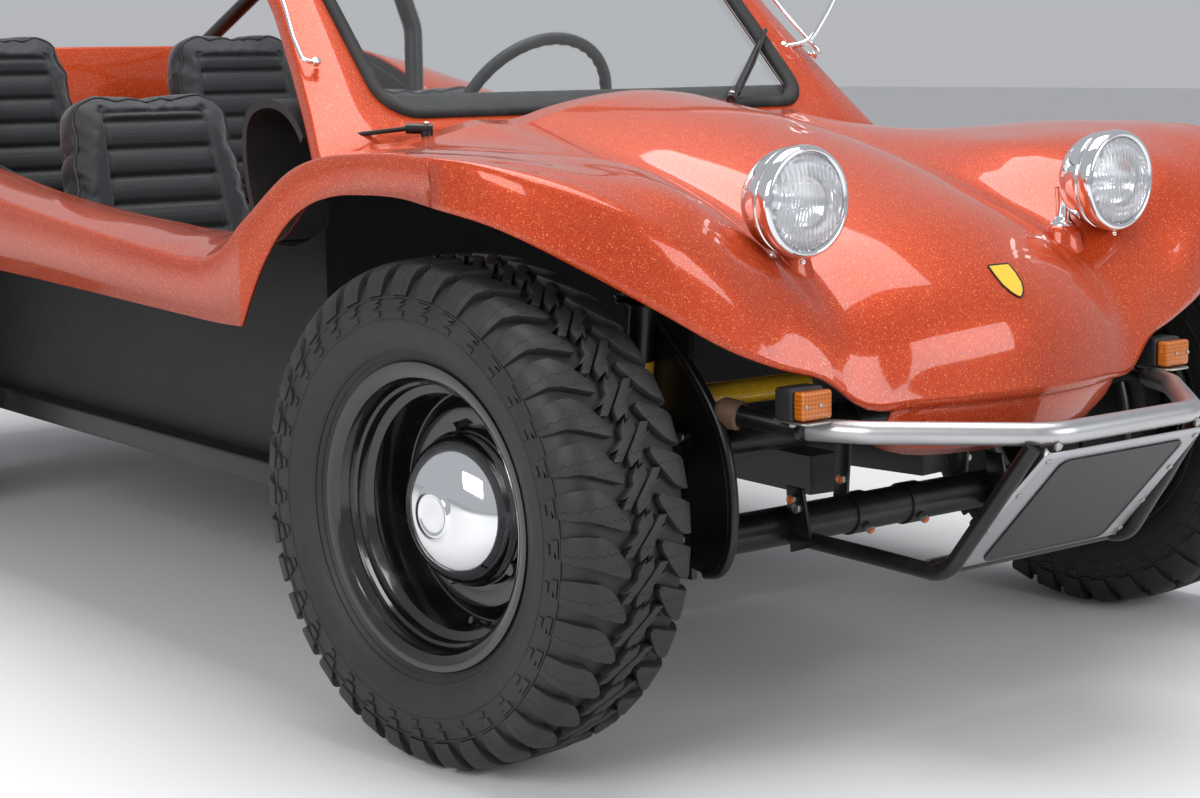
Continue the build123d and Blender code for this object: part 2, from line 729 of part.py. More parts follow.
for side_name, side in (("left", 1), ("right", -1)):
    plane = wheel_planes["front_" + side_name]
    hub_axis = Axis(plane.origin, plane.x_dir)
    with BuildPart() as knuckle:
        with BuildSketch(plane):
            Polygon(
                (kingpin_y - front_wheel_y, 0),
                (kingpin_y - front_wheel_y, spindle_radius),
                (disc_offset - rim_wall, spindle_radius),
                (disc_offset - rim_wall, 0),
                align=None,
            )
        revolve(axis=hub_axis)
        with BuildSketch(plane):
            Polygon((drum_back - 14, spindle_radius - 2), (drum_back - 14, 96), (drum_back - 2, 96),
                    (drum_back - 2, spindle_radius - 2), align=None)
        revolve(axis=hub_axis)
        with BuildSketch(level(beam_low_z - 16)):
            with Locations((0, side * kingpin_y)):
                Circle(15)
        extrude(amount=beam_high_z - beam_low_z + 32)
    knuckle.part.label = "knuckle_" + side_name
    export_step(knuckle.part, "parts/knuckle_" + side_name + ".step")

# ---- Steering: wheel, column
steering_x = -1289
steering_y = 350
steering_z = 862
column_slope = 30
rim_ring_radius = 188
rim_grip_radius = 13
column_radius = 19
column_length = 800
back = Vector(-cos(radians(column_slope)), 0, sin(radians(column_slope)))
steering_plane = Plane(origin=at(steering_x, steering_y, steering_z), x_dir=(0, 1, 0), z_dir=back)

with BuildPart() as steering_wheel:
    with BuildSketch(Plane(origin=steering_plane.origin, x_dir=(0, 1, 0), z_dir=steering_plane.y_dir)):
        with Locations((rim_ring_radius, 0)):
            Circle(rim_grip_radius)
    revolve(axis=Axis(steering_plane.origin, back))
    with BuildSketch(steering_plane.offset(-34)):
        with PolarLocations(rim_ring_radius / 2, 3, start_angle=-90):
            Rectangle(rim_ring_radius - 6, 30)
        Circle(44)
    extrude(amount=6)
    with BuildSketch(steering_plane.offset(-50)):
        Circle(30)
    extrude(amount=46)
    with BuildSketch(steering_plane.offset(-34)):
        with PolarLocations(rim_ring_radius - 8, 3, start_angle=-90):
            Rectangle(14, 30)
    extrude(amount=30)
steering_wheel.part.label = "steering_wheel"
export_step(steering_wheel.part, "parts/steering_wheel.step")

with BuildPart() as steering_column:
    with BuildSketch(steering_plane.offset(-51)):
        Circle(column_radius)
    extrude(amount=-column_length + 51)
steering_column.part.label = "steering_column"
export_step(steering_column.part, "parts/steering_column.step")

# ---- Lamps, indicators
lamp_x = 308
lamp_y = 334
lamp_z = 788
lamp_bezel_radius = 79
lamp_length = 106
lamp_toe = 0
lens_radius = 68
lamp_profile = (
    (0, lens_radius + clearance), (0, lamp_bezel_radius - 5), (-8, lamp_bezel_radius), (-22, lamp_bezel_radius),
    (-28, lamp_bezel_radius - 5),
)
lamp_back = ((-28, lamp_bezel_radius - 5), (-78, 52), (-lamp_length, 0))

with BuildPart() as lamp_shells:
    for side in (-1, 1):
        centre = at(lamp_x, side * lamp_y, lamp_z)
        with BuildSketch(Plane(origin=centre, x_dir=(1, 0, 0), z_dir=(0, -1, 0))):
            with BuildLine():
                Polyline(*lamp_profile)
                Spline(*lamp_back, tangents=((-1, 0), (0, -1)))
                Polyline((-lamp_length, 0), (-12, 0), (-12, lens_radius + clearance), (0, lens_radius + clearance))
            make_face()
        revolve(axis=Axis(centre, (1, 0, 0)))
        foot = at(lamp_pad_x, side * lamp_pad_y, lamp_pad_z + clearance)
        with BuildSketch(Plane(origin=foot, x_dir=(1, 0, 0), z_dir=(0, 0, 1))):
            Circle(19)
        extrude(amount=12)
        with BuildSketch(Plane(origin=foot, x_dir=(1, 0, 0), z_dir=(0, 0, 1))):
            Circle(12)
        extrude(amount=60)
lamp_shells.part.label = "lamp_shells"
export_step(lamp_shells.part, "parts/lamp_shells.step")

with BuildPart() as lamp_lenses:
    for side in (-1, 1):
        centre = at(lamp_x, side * lamp_y, lamp_z)
        with BuildSketch(Plane(origin=centre, x_dir=(1, 0, 0), z_dir=(0, -1, 0))):
            with BuildLine():
                Line((-12 + clearance, 0), (-12 + clearance, lens_radius))
                Line((-12 + clearance, lens_radius), (-2, lens_radius))
                dome = dome_points(-2, lens_radius, 14)
                ThreePointArc(*dome)
                Line(dome[2], (-12 + clearance, 0))
            make_face()
        revolve(axis=Axis(centre, (1, 0, 0)))
lamp_lenses.part.label = "lamp_lenses"
export_step(lamp_lenses.part, "parts/lamp_lenses.step")

indicator_x = 366
indicator_y = 388
indicator_z = 517
indicator_width = 62
indicator_height = 46
with BuildPart() as indicator_housings:
    for side in (-1, 1):
        with BuildSketch(crosswise(indicator_x)):
            with Locations((side * indicator_y, indicator_z)):
                RectangleRounded(indicator_width, indicator_height, 6)
        extrude(amount=-34)
indicator_housings.part.label = "indicator_housings"
export_step(indicator_housings.part, "parts/indicator_housings.step")

with BuildPart() as indicator_lenses:
    for side in (-1, 1):
        with BuildSketch(crosswise(indicator_x + clearance)):
            with Locations((side * indicator_y, indicator_z)):
                RectangleRounded(indicator_width - 6, indicator_height - 6, 5)
        extrude(amount=20)
indicator_lenses.part.label = "indicator_lenses"
export_step(indicator_lenses.part, "parts/indicator_lenses.step")

# ---- Front bumper bar, lower hoop and blank plate panel
bumper_radius = 16
bumper_z = 477
with BuildPart() as front_bumper:
    with BuildLine() as bumper_line:
        FilletPolyline(
            at(348, -368, bumper_z),
            at(420, -330, bumper_z),
            at(600, -150, bumper_z),
            at(600, 150, bumper_z),
            at(420, 330, bumper_z),
            at(348, 368, bumper_z),
            radius=60,
        )
    with BuildSketch(Plane(origin=bumper_line.line @ 0, z_dir=bumper_line.line % 0)):
        Circle(bumper_radius)
    sweep(path=bumper_line.line)
front_bumper.part.label = "front_bumper"
export_step(front_bumper.part, "parts/front_bumper.step")

with BuildPart() as bumper_brackets:
    for side in (-1, 1):
        with BuildLine() as bracket_line:
            Line(at(beam_x + beam_radius + 5, side * 400, beam_high_z + 10), at(334, side * 377, bumper_z - 1))
        with BuildSketch(Plane(origin=bracket_line.line @ 0, z_dir=bracket_line.line % 0)):
            Circle(14)
        sweep(path=bracket_line.line)
bumper_brackets.part.label = "bumper_brackets"
export_step(bumper_brackets.part, "parts/bumper_brackets.step")

hoop_radius = 12
hoop_low_z = 262
with BuildPart() as lower_hoop:
    with BuildLine() as lower_line:
        FilletPolyline(
            at(beam_x + beam_radius + 5, -236, hoop_low_z + 8),
            at(410, -188, hoop_low_z),
            at(410, 188, hoop_low_z),
            at(beam_x + beam_radius + 5, 236, hoop_low_z + 8),
            radius=40,
        )
    with BuildSketch(Plane(origin=lower_line.line @ 0, z_dir=lower_line.line % 0)):
        Circle(hoop_radius)
    sweep(path=lower_line.line)
lower_hoop.part.label = "lower_hoop"
export_step(lower_hoop.part, "parts/lower_hoop.step")

panel_low_x = 428
panel_low_z = 256
panel_high_x = 606
panel_high_z = 456
panel_slope = atan2(panel_high_z - panel_low_z, panel_high_x - panel_low_x)
panel_length = hypot(panel_high_x - panel_low_x, panel_high_z - panel_low_z)
panel_plane = Plane(
    origin=at(panel_low_x, 0, panel_low_z),
    x_dir=(0, 1, 0),
    z_dir=(sin(panel_slope), 0, -cos(panel_slope)),
)
panel_low_half = 184
panel_high_half = 168
with BuildPart() as plate_panel:
    with BuildSketch(panel_plane):
        Polygon((-panel_low_half, 0), (panel_low_half, 0), (panel_high_half, panel_length),
                (-panel_high_half, panel_length), align=None)
    extrude(amount=4)
plate_panel.part.label = "plate_panel"
export_step(plate_panel.part, "parts/plate_panel.step")

# ---- Wipers, mirror, pillar bars
with BuildPart() as wipers:
    for side in (-1, 1):
        with BuildSketch(level(862)):
            with Locations((-455, side * 470)):
                Circle(9)
        extrude(amount=30)
        with BuildLine() as wiper_line:
            Line(at(-458, side * 466, 886), at(-520, side * 330, 900))
        with BuildSketch(Plane(origin=wiper_line.line @ 0, z_dir=wiper_line.line % 0)):
            Rectangle(8, 8)
        sweep(path=wiper_line.line)
wipers.part.label = "wipers"
export_step(wipers.part, "parts/wipers.step")

with BuildPart() as mirror:
    with BuildLine() as mirror_line:
        Polyline(at(-655, 562, 985), at(-640, 600, 1010), at(-640, 640, 1120))
    with BuildSketch(Plane(origin=mirror_line.line @ 0, z_dir=mirror_line.line % 0)):
        Circle(6)
    sweep(path=mirror_line.line, transition=Transition.ROUND)
    with BuildSketch(crosswise(-650)):
        with Locations((640, 1165)):
            Circle(56)
    extrude(amount=22)
mirror.part.label = "mirror"
export_step(mirror.part, "parts/mirror.step")

# ---- Rear: engine block, gearbox with axle tubes, exhaust, bumper, tail lamps
rear_axle_x = rear_axle_from_front
with BuildPart() as engine_block:
    with Locations(at(-2870, 0, 400)):
        Box(280, 620, 300)
    with Locations(at(-2860, 0, 600)):
        Box(180, 300, 110)
engine_block.part.label = "engine_block"
export_step(engine_block.part, "parts/engine_block.step")

with BuildPart() as gearbox_axle:
    with Locations(at(-2400, 0, axle_z)):
        Box(640, 190, 190)
    for side in (-1, 1):
        with BuildSketch(Plane.XZ.offset(-side * 80)):
            with Locations((front_axle_x + rear_axle_x, axle_z)):
                Circle(34)
        extrude(amount=-side * (rear_wheel_y + drum_back - 2 - 80))
        with BuildSketch(Plane.XZ.offset(-side * 80)):
            with Locations((front_axle_x + rear_axle_x, axle_z)):
                Circle(spindle_radius)
        extrude(amount=-side * (rear_wheel_y + disc_offset - rim_wall - 80))
gearbox_axle.part.label = "gearbox_axle"
export_step(gearbox_axle.part, "parts/gearbox_axle.step")

with BuildPart() as exhaust:
    with BuildSketch(Plane.XZ.offset(-250)):
        with Locations((front_axle_x - 3056, 300)):
            Circle(42)
    extrude(amount=500)
exhaust.part.label = "exhaust"
export_step(exhaust.part, "parts/exhaust.step")

with BuildPart() as rear_bumper:
    with BuildLine() as rear_line:
        FilletPolyline(
            at(-2960, -420, 600),
            at(-wheelbase - rear_overhang + 16, -360, 600),
            at(-wheelbase - rear_overhang + 16, 360, 600),
            at(-2960, 420, 600),
            radius=50,
        )
    with BuildSketch(Plane(origin=rear_line.line @ 0, z_dir=rear_line.line % 0)):
        Circle(16)
    sweep(path=rear_line.line)
rear_bumper.part.label = "rear_bumper"
export_step(rear_bumper.part, "parts/rear_bumper.step")

with BuildPart() as tail_lamps:
    for side in (-1, 1):
        with BuildSketch(crosswise(-3052)):
            with Locations((side * 520, 850)):
                Circle(42)
        extrude(amount=-30)
tail_lamps.part.label = "tail_lamps"
export_step(tail_lamps.part, "parts/tail_lamps.step")
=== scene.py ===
# %% [markdown]
# # An open dune buggy, dressed for its picture
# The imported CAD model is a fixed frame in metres: +X is forward, +Y is the car's left and the ground is z = 0.
# Each cell below takes one piece or one finish of the real car, says what it is and how it could be made, and makes it.

# %% Load the frame
import json
import math
from math import cos, pi, radians, sin

import bmesh
import bpy
from mathutils import Matrix, Vector

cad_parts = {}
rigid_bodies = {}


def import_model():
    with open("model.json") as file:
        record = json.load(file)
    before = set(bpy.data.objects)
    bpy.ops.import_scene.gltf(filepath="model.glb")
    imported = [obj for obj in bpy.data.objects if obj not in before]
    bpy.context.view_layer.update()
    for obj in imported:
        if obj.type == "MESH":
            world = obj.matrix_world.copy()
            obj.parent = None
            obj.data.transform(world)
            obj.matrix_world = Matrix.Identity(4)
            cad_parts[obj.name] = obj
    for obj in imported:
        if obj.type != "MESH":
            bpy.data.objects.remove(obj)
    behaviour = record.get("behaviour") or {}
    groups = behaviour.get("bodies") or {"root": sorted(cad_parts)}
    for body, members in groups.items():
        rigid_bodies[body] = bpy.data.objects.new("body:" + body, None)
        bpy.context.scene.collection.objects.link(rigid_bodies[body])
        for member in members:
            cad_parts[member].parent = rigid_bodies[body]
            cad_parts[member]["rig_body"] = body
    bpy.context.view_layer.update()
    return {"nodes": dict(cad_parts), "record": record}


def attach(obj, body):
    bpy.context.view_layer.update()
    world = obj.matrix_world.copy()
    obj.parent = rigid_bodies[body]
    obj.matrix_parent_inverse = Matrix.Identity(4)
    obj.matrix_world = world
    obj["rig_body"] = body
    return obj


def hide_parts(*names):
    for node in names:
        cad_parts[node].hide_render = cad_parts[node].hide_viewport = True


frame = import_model()
nodes = frame["nodes"]
scene = bpy.context.scene
FRONT_AXLE = 1.242
REAR_AXLE = FRONT_AXLE - 2.4
HUB_HEIGHT = math.sqrt(0.362**2 - 0.025**2)

# %% [markdown]
# ## The camera
# The picture was taken from the right front, about a metre above the ground, with a lens of about 66 mm.
# A camera looks along its own -Z, so its matrix has the view's right, up and backward directions as its columns.

# %% Camera
heading, pitch, roll = radians(142.41), radians(8.90), radians(-0.76)
ahead = Vector((cos(heading) * cos(pitch), sin(heading) * cos(pitch), -sin(pitch)))
level_right = Vector((sin(heading), -cos(heading), 0))
level_down = ahead.cross(level_right)
right = level_right * cos(roll) - level_down * sin(roll)
down = level_right * sin(roll) + level_down * cos(roll)
camera = bpy.data.objects.new("camera", bpy.data.cameras.new("camera"))
camera.data.lens = 66.36
camera.data.sensor_width = 36
camera.matrix_world = Matrix.Translation((FRONT_AXLE + 2.567, -2.442, 0.997)) @ Matrix(
    (right, -down, -ahead)
).transposed().to_4x4()
scene.collection.objects.link(camera)
scene.camera = camera
scene.view_settings.view_transform = "Standard"
print("camera at", tuple(round(value, 3) for value in camera.location))

# %% [markdown]
# ## Shader maths as expressions
# A finish is a graph of nodes, and long graphs are hard to read as calls.
# So one small class wraps a socket and overloads the operators: `1 - mask * 0.5` adds the two Math nodes by itself.
# Every other kind of node comes from one method, which takes its type, its settings and the values or wires of its sockets.

# %% A wire, and the finish that it belongs to
class Wire:
    """One value inside a finish. An expression on it adds Math nodes."""

    def __init__(self, finish, socket):
        self.finish = finish
        self.socket = socket

    def math(self, operation, *values, clamp=False):
        links = dict(enumerate(values))
        return self.finish.node("Math", {"operation": operation, "use_clamp": clamp}, links)

    def __add__(self, other):
        return self.math("ADD", self, other)

    def __radd__(self, other):
        return self.math("ADD", other, self)

    def __sub__(self, other):
        return self.math("SUBTRACT", self, other)

    def __rsub__(self, other):
        return self.math("SUBTRACT", other, self)

    def __mul__(self, other):
        return self.math("MULTIPLY", self, other)

    def __rmul__(self, other):
        return self.math("MULTIPLY", other, self)

    def __truediv__(self, other):
        return self.math("DIVIDE", self, other)

    def __pow__(self, other):
        return self.math("POWER", self, other)

    def __mod__(self, other):
        return self.math("FLOORED_MODULO", self, other)

    def __gt__(self, other):
        return self.math("GREATER_THAN", self, other)

    def __lt__(self, other):
        return self.math("LESS_THAN", self, other)

    def of(self, operation, *values):
        """This value through a Math node of that operation."""
        return self.math(operation, self, *values)

    def between(self, low, high):
        """0 below low and 1 above high, with a smooth step between them."""
        settings = {"interpolation_type": "SMOOTHSTEP"}
        return self.finish.node("MapRange", settings, {"Value": self, "From Min": low, "From Max": high})


class Finish:
    """A material that is built from nodes."""

    def __init__(self, name):
        self.material = bpy.data.materials.new(name)
        self.material.use_nodes = True
        self.tree = self.material.node_tree
        self.tree.nodes.clear()
        self.output = self.tree.nodes.new("ShaderNodeOutputMaterial")

    def node(self, kind, settings=None, links=None, out=0):
        made = self.tree.nodes.new("ShaderNode" + kind)
        for name, value in (settings or {}).items():
            if name == "stops":
                while len(made.color_ramp.elements) < len(value):
                    made.color_ramp.elements.new(0.5)
                for element, (place, colour) in zip(made.color_ramp.elements, value):
                    element.position = place
                    element.color = (*colour, 1)
            else:
                setattr(made, name, value)
        for name, value in (links or {}).items():
            socket = made.inputs[name]
            if isinstance(value, Wire):
                self.tree.links.new(value.socket, socket)
            elif isinstance(value, tuple) and socket.type == "RGBA":
                socket.default_value = (*value, 1)
            else:
                socket.default_value = value
        return Wire(self, made.outputs[out])

    def place(self, centre=(0, 0, 0), turn=(0, 0, 0), scale=(1, 1, 1)):
        """Object coordinates, in metres, seen from a centre."""
        spot = self.node("TexCoord", out="Object")
        if centre == (0, 0, 0) and turn == (0, 0, 0) and scale == (1, 1, 1):
            return spot
        moved = self.node("VectorMath", {"operation": "SUBTRACT"}, {0: spot, 1: centre})
        return self.node("Mapping", None, {"Vector": moved, "Rotation": turn, "Scale": scale})

    def axes(self, vector):
        split = self.node("SeparateXYZ", None, {"Vector": vector})
        owner = split.socket.node
        return [Wire(self, owner.outputs[index]) for index in range(3)]

    def noise(self, vector, scale, detail=2.0, roughness=0.5, out="Fac"):
        links = {"Vector": vector, "Scale": scale, "Detail": detail, "Roughness": roughness}
        return self.node("TexNoise", None, links, out)

    def cells(self, vector, scale, out="Distance", feature="F1"):
        return self.node("TexVoronoi", {"feature": feature}, {"Vector": vector, "Scale": scale}, out)

    def mix(self, factor, first, second):
        links = {0: factor, 6: first, 7: second}
        return self.node("Mix", {"data_type": "RGBA"}, links, 2)

    def bump(self, height, distance, strength=1.0, normal=None):
        links = {"Height": height, "Distance": distance, "Strength": strength}
        if normal:
            links["Normal"] = normal
        return self.node("Bump", None, links)

    def surface(self, **sockets):
        """Ends the finish with a Principled shader; socket names are written with _ for a space."""
        links = {name.replace("_", " "): value for name, value in sockets.items()}
        shader = self.node("BsdfPrincipled", None, links)
        self.tree.links.new(shader.socket, self.output.inputs["Surface"])
        return self.material

# %% [markdown]
# ## The studio
# The floor is one large pale sheet, and three area lamps light the car softly: one overhead, one from the camera's side and one low from the front.
# The world is a plain pale grey, so paint and chrome have something bright to reflect.

# %% Floor, lamps and world
def studio_floor():
    """One large pale sheet."""
    sheet = bmesh.new()
    bmesh.ops.create_grid(sheet, x_segments=1, y_segments=1, size=40)
    mesh = bpy.data.meshes.new("floor")
    sheet.to_mesh(mesh)
    floor = bpy.data.objects.new("floor", mesh)
    scene.collection.objects.link(floor)
    pale = Finish("pale_floor")
    grain = pale.noise(pale.place(), 3.0, 3.0)
    shade = pale.mix(grain * 0.35, (0.80, 0.80, 0.80), (0.74, 0.745, 0.75))
    floor.data.materials.append(pale.surface(Base_Color=shade, Roughness=0.75))


def area_lamp(name, place, target, width, height, watts, colour=(1, 1, 1)):
    """A soft lamp that looks at its target."""
    lamp = bpy.data.lights.new(name, "AREA")
    lamp.shape = "RECTANGLE"
    lamp.size = width
    lamp.size_y = height
    lamp.energy = watts
    lamp.color = colour
    holder = bpy.data.objects.new(name, lamp)
    aim = Vector(target) - Vector(place)
    holder.matrix_world = Matrix.Translation(place) @ aim.to_track_quat("-Z", "Y").to_matrix().to_4x4()
    scene.collection.objects.link(holder)


studio_floor()
area_lamp("lamp_overhead", (0.3, 0.3, 5.0), (0.3, 0, 0.4), 5.0, 3.0, 210)
area_lamp("lamp_right", (2.6, -5.2, 3.0), (0.6, 0, 0.5), 3.6, 2.2, 150, (1.0, 0.985, 0.96))
area_lamp("lamp_front", (6.4, 1.8, 2.4), (1.0, 0, 0.5), 3.0, 2.0, 95, (0.95, 0.975, 1.0))
world = bpy.data.worlds.new("studio")
scene.world = world
world.use_nodes = True
world.node_tree.nodes["Background"].inputs["Color"].default_value = (0.93, 0.95, 1.0, 1)
world.node_tree.nodes["Background"].inputs["Strength"].default_value = 0.5

# %% [markdown]
# ## Paint with metal flakes
# The body is moulded glass fibre in an orange paint full of small bright flakes under clear lacquer.
# Cells smaller than a millimetre give each flake its own tone and tilt, sparser ones add bright specks, and a clear coat lies over them.

# %% Flake paint
def flake_paint():
    """Orange lacquer full of flakes."""
    paint = Finish("orange_flake_paint")
    spot = paint.place()
    flakes = paint.cells(spot, 1500.0, "Color")
    tone = paint.node("SeparateColor", None, {"Color": flakes})
    specks = paint.cells(spot, 620.0, "Color")
    speck = paint.node("SeparateColor", None, {"Color": specks}, 1)
    drift = paint.noise(spot, 2.2, 3.0)
    deep = paint.mix(drift.between(0.3, 0.7), (0.50, 0.046, 0.008), (0.56, 0.060, 0.011))
    dark = paint.mix(tone.between(0.0, 0.45), (0.33, 0.022, 0.005), deep)
    bright = paint.mix(tone.between(0.78, 1.0) * 0.75, dark, (0.93, 0.17, 0.04))
    bright = paint.mix(speck.between(0.93, 1.0) * 0.6, bright, (1.0, 0.34, 0.12))
    grime = (paint.noise(spot, 9.0, 5.0, 0.65).between(0.52, 0.8)) * 0.12
    colour = paint.mix(grime, bright, (0.30, 0.10, 0.05))
    peel = paint.bump(paint.noise(spot, 160.0, 1.0), 0.00025, 0.12)
    return paint.surface(
        Base_Color=colour,
        Metallic=0.30,
        Roughness=0.46 - tone * 0.10,
        Normal=paint.bump(tone, 0.00010, 0.22, peel),
        Specular_IOR_Level=0.15,
        Coat_Weight=0.8,
        Coat_Roughness=0.05,
    )


FLAKE_PAINT = flake_paint()

# %% [markdown]
# ## Black parts
# The tub is sprayed with a coarse black texture, and the running gear has a smoother satin coat with dust in its low places.
# Both come from one recipe: a stipple for the coat, a slow drift of grey for dust, and bare specks where stones have hit.

# %% Black coats
def black_coat(name, stipple_scale, stipple_depth, roughness, dust, tone=(0.012, 0.012, 0.013)):
    coat = Finish(name)
    spot = coat.place()
    stipple = coat.noise(spot, stipple_scale, 4.0, 0.6)
    dusting = coat.noise(spot, 6.0, 6.0, 0.7).between(0.45, 0.85) * dust
    chips = coat.cells(spot, 75.0).between(0.0, 0.045)
    colour = coat.mix(dusting, tone, (0.16, 0.145, 0.125))
    colour = coat.mix((1 - chips) * 0.35, colour, (0.09, 0.085, 0.08))
    wear = roughness + dusting * 0.35 + stipple * 0.10
    return coat.surface(Base_Color=colour, Roughness=wear, Normal=coat.bump(stipple, stipple_depth, 0.6))


TUB_COAT = black_coat("tub_texture_coat", 420.0, 0.0011, 0.50, 0.10, (0.006, 0.0062, 0.0068))
SATIN_BLACK = black_coat("satin_black_coat", 240.0, 0.0003, 0.26, 0.18, (0.006, 0.006, 0.0065))
GRAINED_PLASTIC = black_coat("grained_black_plastic", 700.0, 0.0005, 0.48, 0.15, (0.017, 0.017, 0.018))
SEAL_RUBBER = black_coat("matt_seal_rubber", 900.0, 0.0002, 0.68, 0.25, (0.010, 0.010, 0.010))

# %% [markdown]
# ## Bright metal
# Chrome is almost a mirror with faint haze. Brushed steel is drawn by a noise that is stretched many times along the bar.
# Cast iron and cast alloy are coarse and dull.

# %% Bright metal
def chrome_plate():
    """Almost a mirror, with faint haze and fine pits."""
    plate = Finish("polished_chrome")
    spot = plate.place()
    haze = plate.noise(spot, 14.0, 5.0, 0.7).between(0.45, 0.8)
    tone = plate.mix(haze * 0.4, (0.86, 0.87, 0.89), (0.66, 0.67, 0.69))
    pits = plate.bump(plate.noise(spot, 500.0, 2.0), 0.00004, 0.4)
    return plate.surface(Base_Color=tone, Metallic=1.0, Roughness=0.05 + haze * 0.12, Normal=pits)


def brushed_steel(name, stretch, tone=(0.60, 0.60, 0.61), roughness=0.30):
    steel = Finish(name)
    grain = steel.noise(steel.place(scale=stretch), 900.0, 3.0, 0.6)
    cloud = steel.noise(steel.place(), 12.0, 4.0, 0.6)
    dull = tuple(value * 0.72 for value in tone)
    colour = steel.mix(grain * 0.55 + cloud.between(0.4, 0.8) * 0.3, tone, dull)
    hair = steel.bump(grain, 0.00006, 0.5)
    return steel.surface(Base_Color=colour, Metallic=1.0, Roughness=roughness + cloud * 0.14, Normal=hair)


def rough_cast(name, tone, metallic, roughness):
    """Coarse cast metal with stains."""
    cast = Finish(name)
    spot = cast.place()
    grit = cast.noise(spot, 260.0, 5.0, 0.7)
    stain = cast.noise(spot, 11.0, 5.0, 0.65).between(0.4, 0.75)
    colour = cast.mix(stain * 0.6, tone, tuple(value * 0.45 for value in tone))
    relief = cast.bump(grit, 0.0006, 0.7)
    return cast.surface(Base_Color=colour, Metallic=metallic, Roughness=roughness + stain * 0.2, Normal=relief)


CHROME = chrome_plate()
BAR_STEEL = brushed_steel("brushed_bar_steel", (1.0, 0.02, 1.0))
PANEL_STEEL = brushed_steel("brushed_panel_steel", (1.0, 0.03, 1.0), (0.55, 0.55, 0.57), 0.34)
BOLT_STEEL = brushed_steel("zinc_bolt_steel", (0.3, 0.3, 1.0), (0.50, 0.50, 0.47), 0.38)
CAST_IRON = rough_cast("cast_iron_drum", (0.10, 0.098, 0.095), 0.7, 0.55)
CAST_ALLOY = rough_cast("cast_alloy_case", (0.42, 0.42, 0.43), 0.85, 0.42)

# %% [markdown]
# ## Glass and lenses
# The windscreen is clear with a breath of green. Lamp lenses carry vertical flutes, drawn by a bump and by painted
# shade that greys across each flute.
# Amber and red lenses are tinted plastic with a fine grid of prisms moulded inside.

# %% Glass and lenses
def clear_glass():
    """Clear sheet with slow smears."""
    glass = Finish("windscreen_glass")
    smear = glass.noise(glass.place(), 5.0, 5.0, 0.7).between(0.5, 0.85)
    return glass.surface(
        Base_Color=glass.mix(smear * 0.3, (0.97, 0.99, 0.98), (0.90, 0.93, 0.92)),
        Roughness=0.02 + smear * 0.06,
        Transmission_Weight=1.0,
        IOR=1.45,
    )


def prism_lens(name, tone, pitch):
    """Tinted plastic over a grid of small prisms."""
    lens = Finish(name)
    x, y, z = lens.axes(lens.place())
    grid = (y / pitch).of("PINGPONG", 0.5) + (z / pitch).of("PINGPONG", 0.5)
    shade = lens.mix(grid.between(0.2, 0.9), tone, tuple(value * 0.55 for value in tone))
    return lens.surface(
        Base_Color=shade,
        Roughness=0.16,
        Transmission_Weight=0.35,
        IOR=1.49,
        Normal=lens.bump(grid, 0.0009, 0.5),
        Coat_Weight=0.8,
        Coat_Roughness=0.03,
    )


def fluted_glass():
    """Lamp glass with upright flutes, in rows, and painted shade across each flute."""
    lens = Finish("fluted_lamp_glass")
    x, y, z = lens.axes(lens.place())
    flutes = (y / 0.0075).of("PINGPONG", 0.5)
    rows = (z / 0.034).of("PINGPONG", 0.5).between(0.0, 0.06)
    relief = flutes.of("POWER", 2.0) * rows
    # Painted shade: the glass colour greys across each flute, standing in for the light and shade that the flutes bend.
    return lens.surface(
        Base_Color=lens.mix(flutes * 0.5, (0.97, 0.98, 1.0), (0.74, 0.77, 0.80)),
        Roughness=0.12 + flutes * 0.08,
        Transmission_Weight=0.72,
        IOR=1.40,
        Normal=lens.bump(relief, 0.0030, 0.9),
        Coat_Weight=0.6,
        Coat_Roughness=0.02,
    )


GLASS = clear_glass()
AMBER = prism_lens("amber_lens", (0.90, 0.24, 0.015), 0.006)
RED = prism_lens("red_lens", (0.52, 0.012, 0.012), 0.007)
FLUTED = fluted_glass()

# %% [markdown]
# ## Helpers for shaping
# A moulded skin is a row of points that is extruded from section to section, so its faces follow the real one's lines.
# `through` puts a smooth curve through measured points, `swept_skin` extrudes a row of edges along such sections, and `piece` makes the object, which rides on a body of the frame.

# %% Curves, skins and pieces
from mathutils.geometry import interpolate_bezier


def through(points, steps):
    """Points on a smooth curve through the given ones, with that many steps to each span."""
    spots = [Vector(point) for point in points]
    leans = []
    for index, spot in enumerate(spots):
        before = spots[max(index - 1, 0)]
        after = spots[min(index + 1, len(spots) - 1)]
        back, fore = (spot - before).length, (after - spot).length
        if back < 1e-9 or fore < 1e-9:
            leans.append((after - before).normalized())
        else:
            leans.append(((spot - before) / back * fore + (after - spot) / fore * back) / (back + fore))
    fine = []
    for index in range(len(spots) - 1):
        start, end = spots[index], spots[index + 1]
        third = (end - start).length / 3
        handles = (start + leans[index] * third, end - leans[index + 1] * third)
        fine += interpolate_bezier(start, handles[0], handles[1], end, steps + 1)[:-1]
    return fine + [spots[-1]]


def evenly(points, count):
    """That many points at even distances along a chain."""
    lengths = [0.0]
    for start, end in zip(points, points[1:]):
        lengths.append(lengths[-1] + (end - start).length)
    spread = []
    for index in range(count):
        target = lengths[-1] * index / (count - 1)
        span = max(i for i in range(len(points) - 1) if lengths[i] <= target + 1e-9)
        share = (target - lengths[span]) / max(lengths[span + 1] - lengths[span], 1e-9)
        spread.append(points[span].lerp(points[span + 1], min(share, 1.0)))
    return spread


def grow(shape, row, places):
    """Extrudes the edges of a row and puts the new corners at the places; gives the new row."""
    edges = [shape.edges.get(pair) for pair in zip(row, row[1:])]
    grown = set(bmesh.ops.extrude_edge_only(shape, edges=edges)["geom"])
    row = [next(edge.other_vert(c) for edge in c.link_edges if edge.other_vert(c) in grown) for c in row]
    for corner, place in zip(row, places):
        corner.co = place
    return row


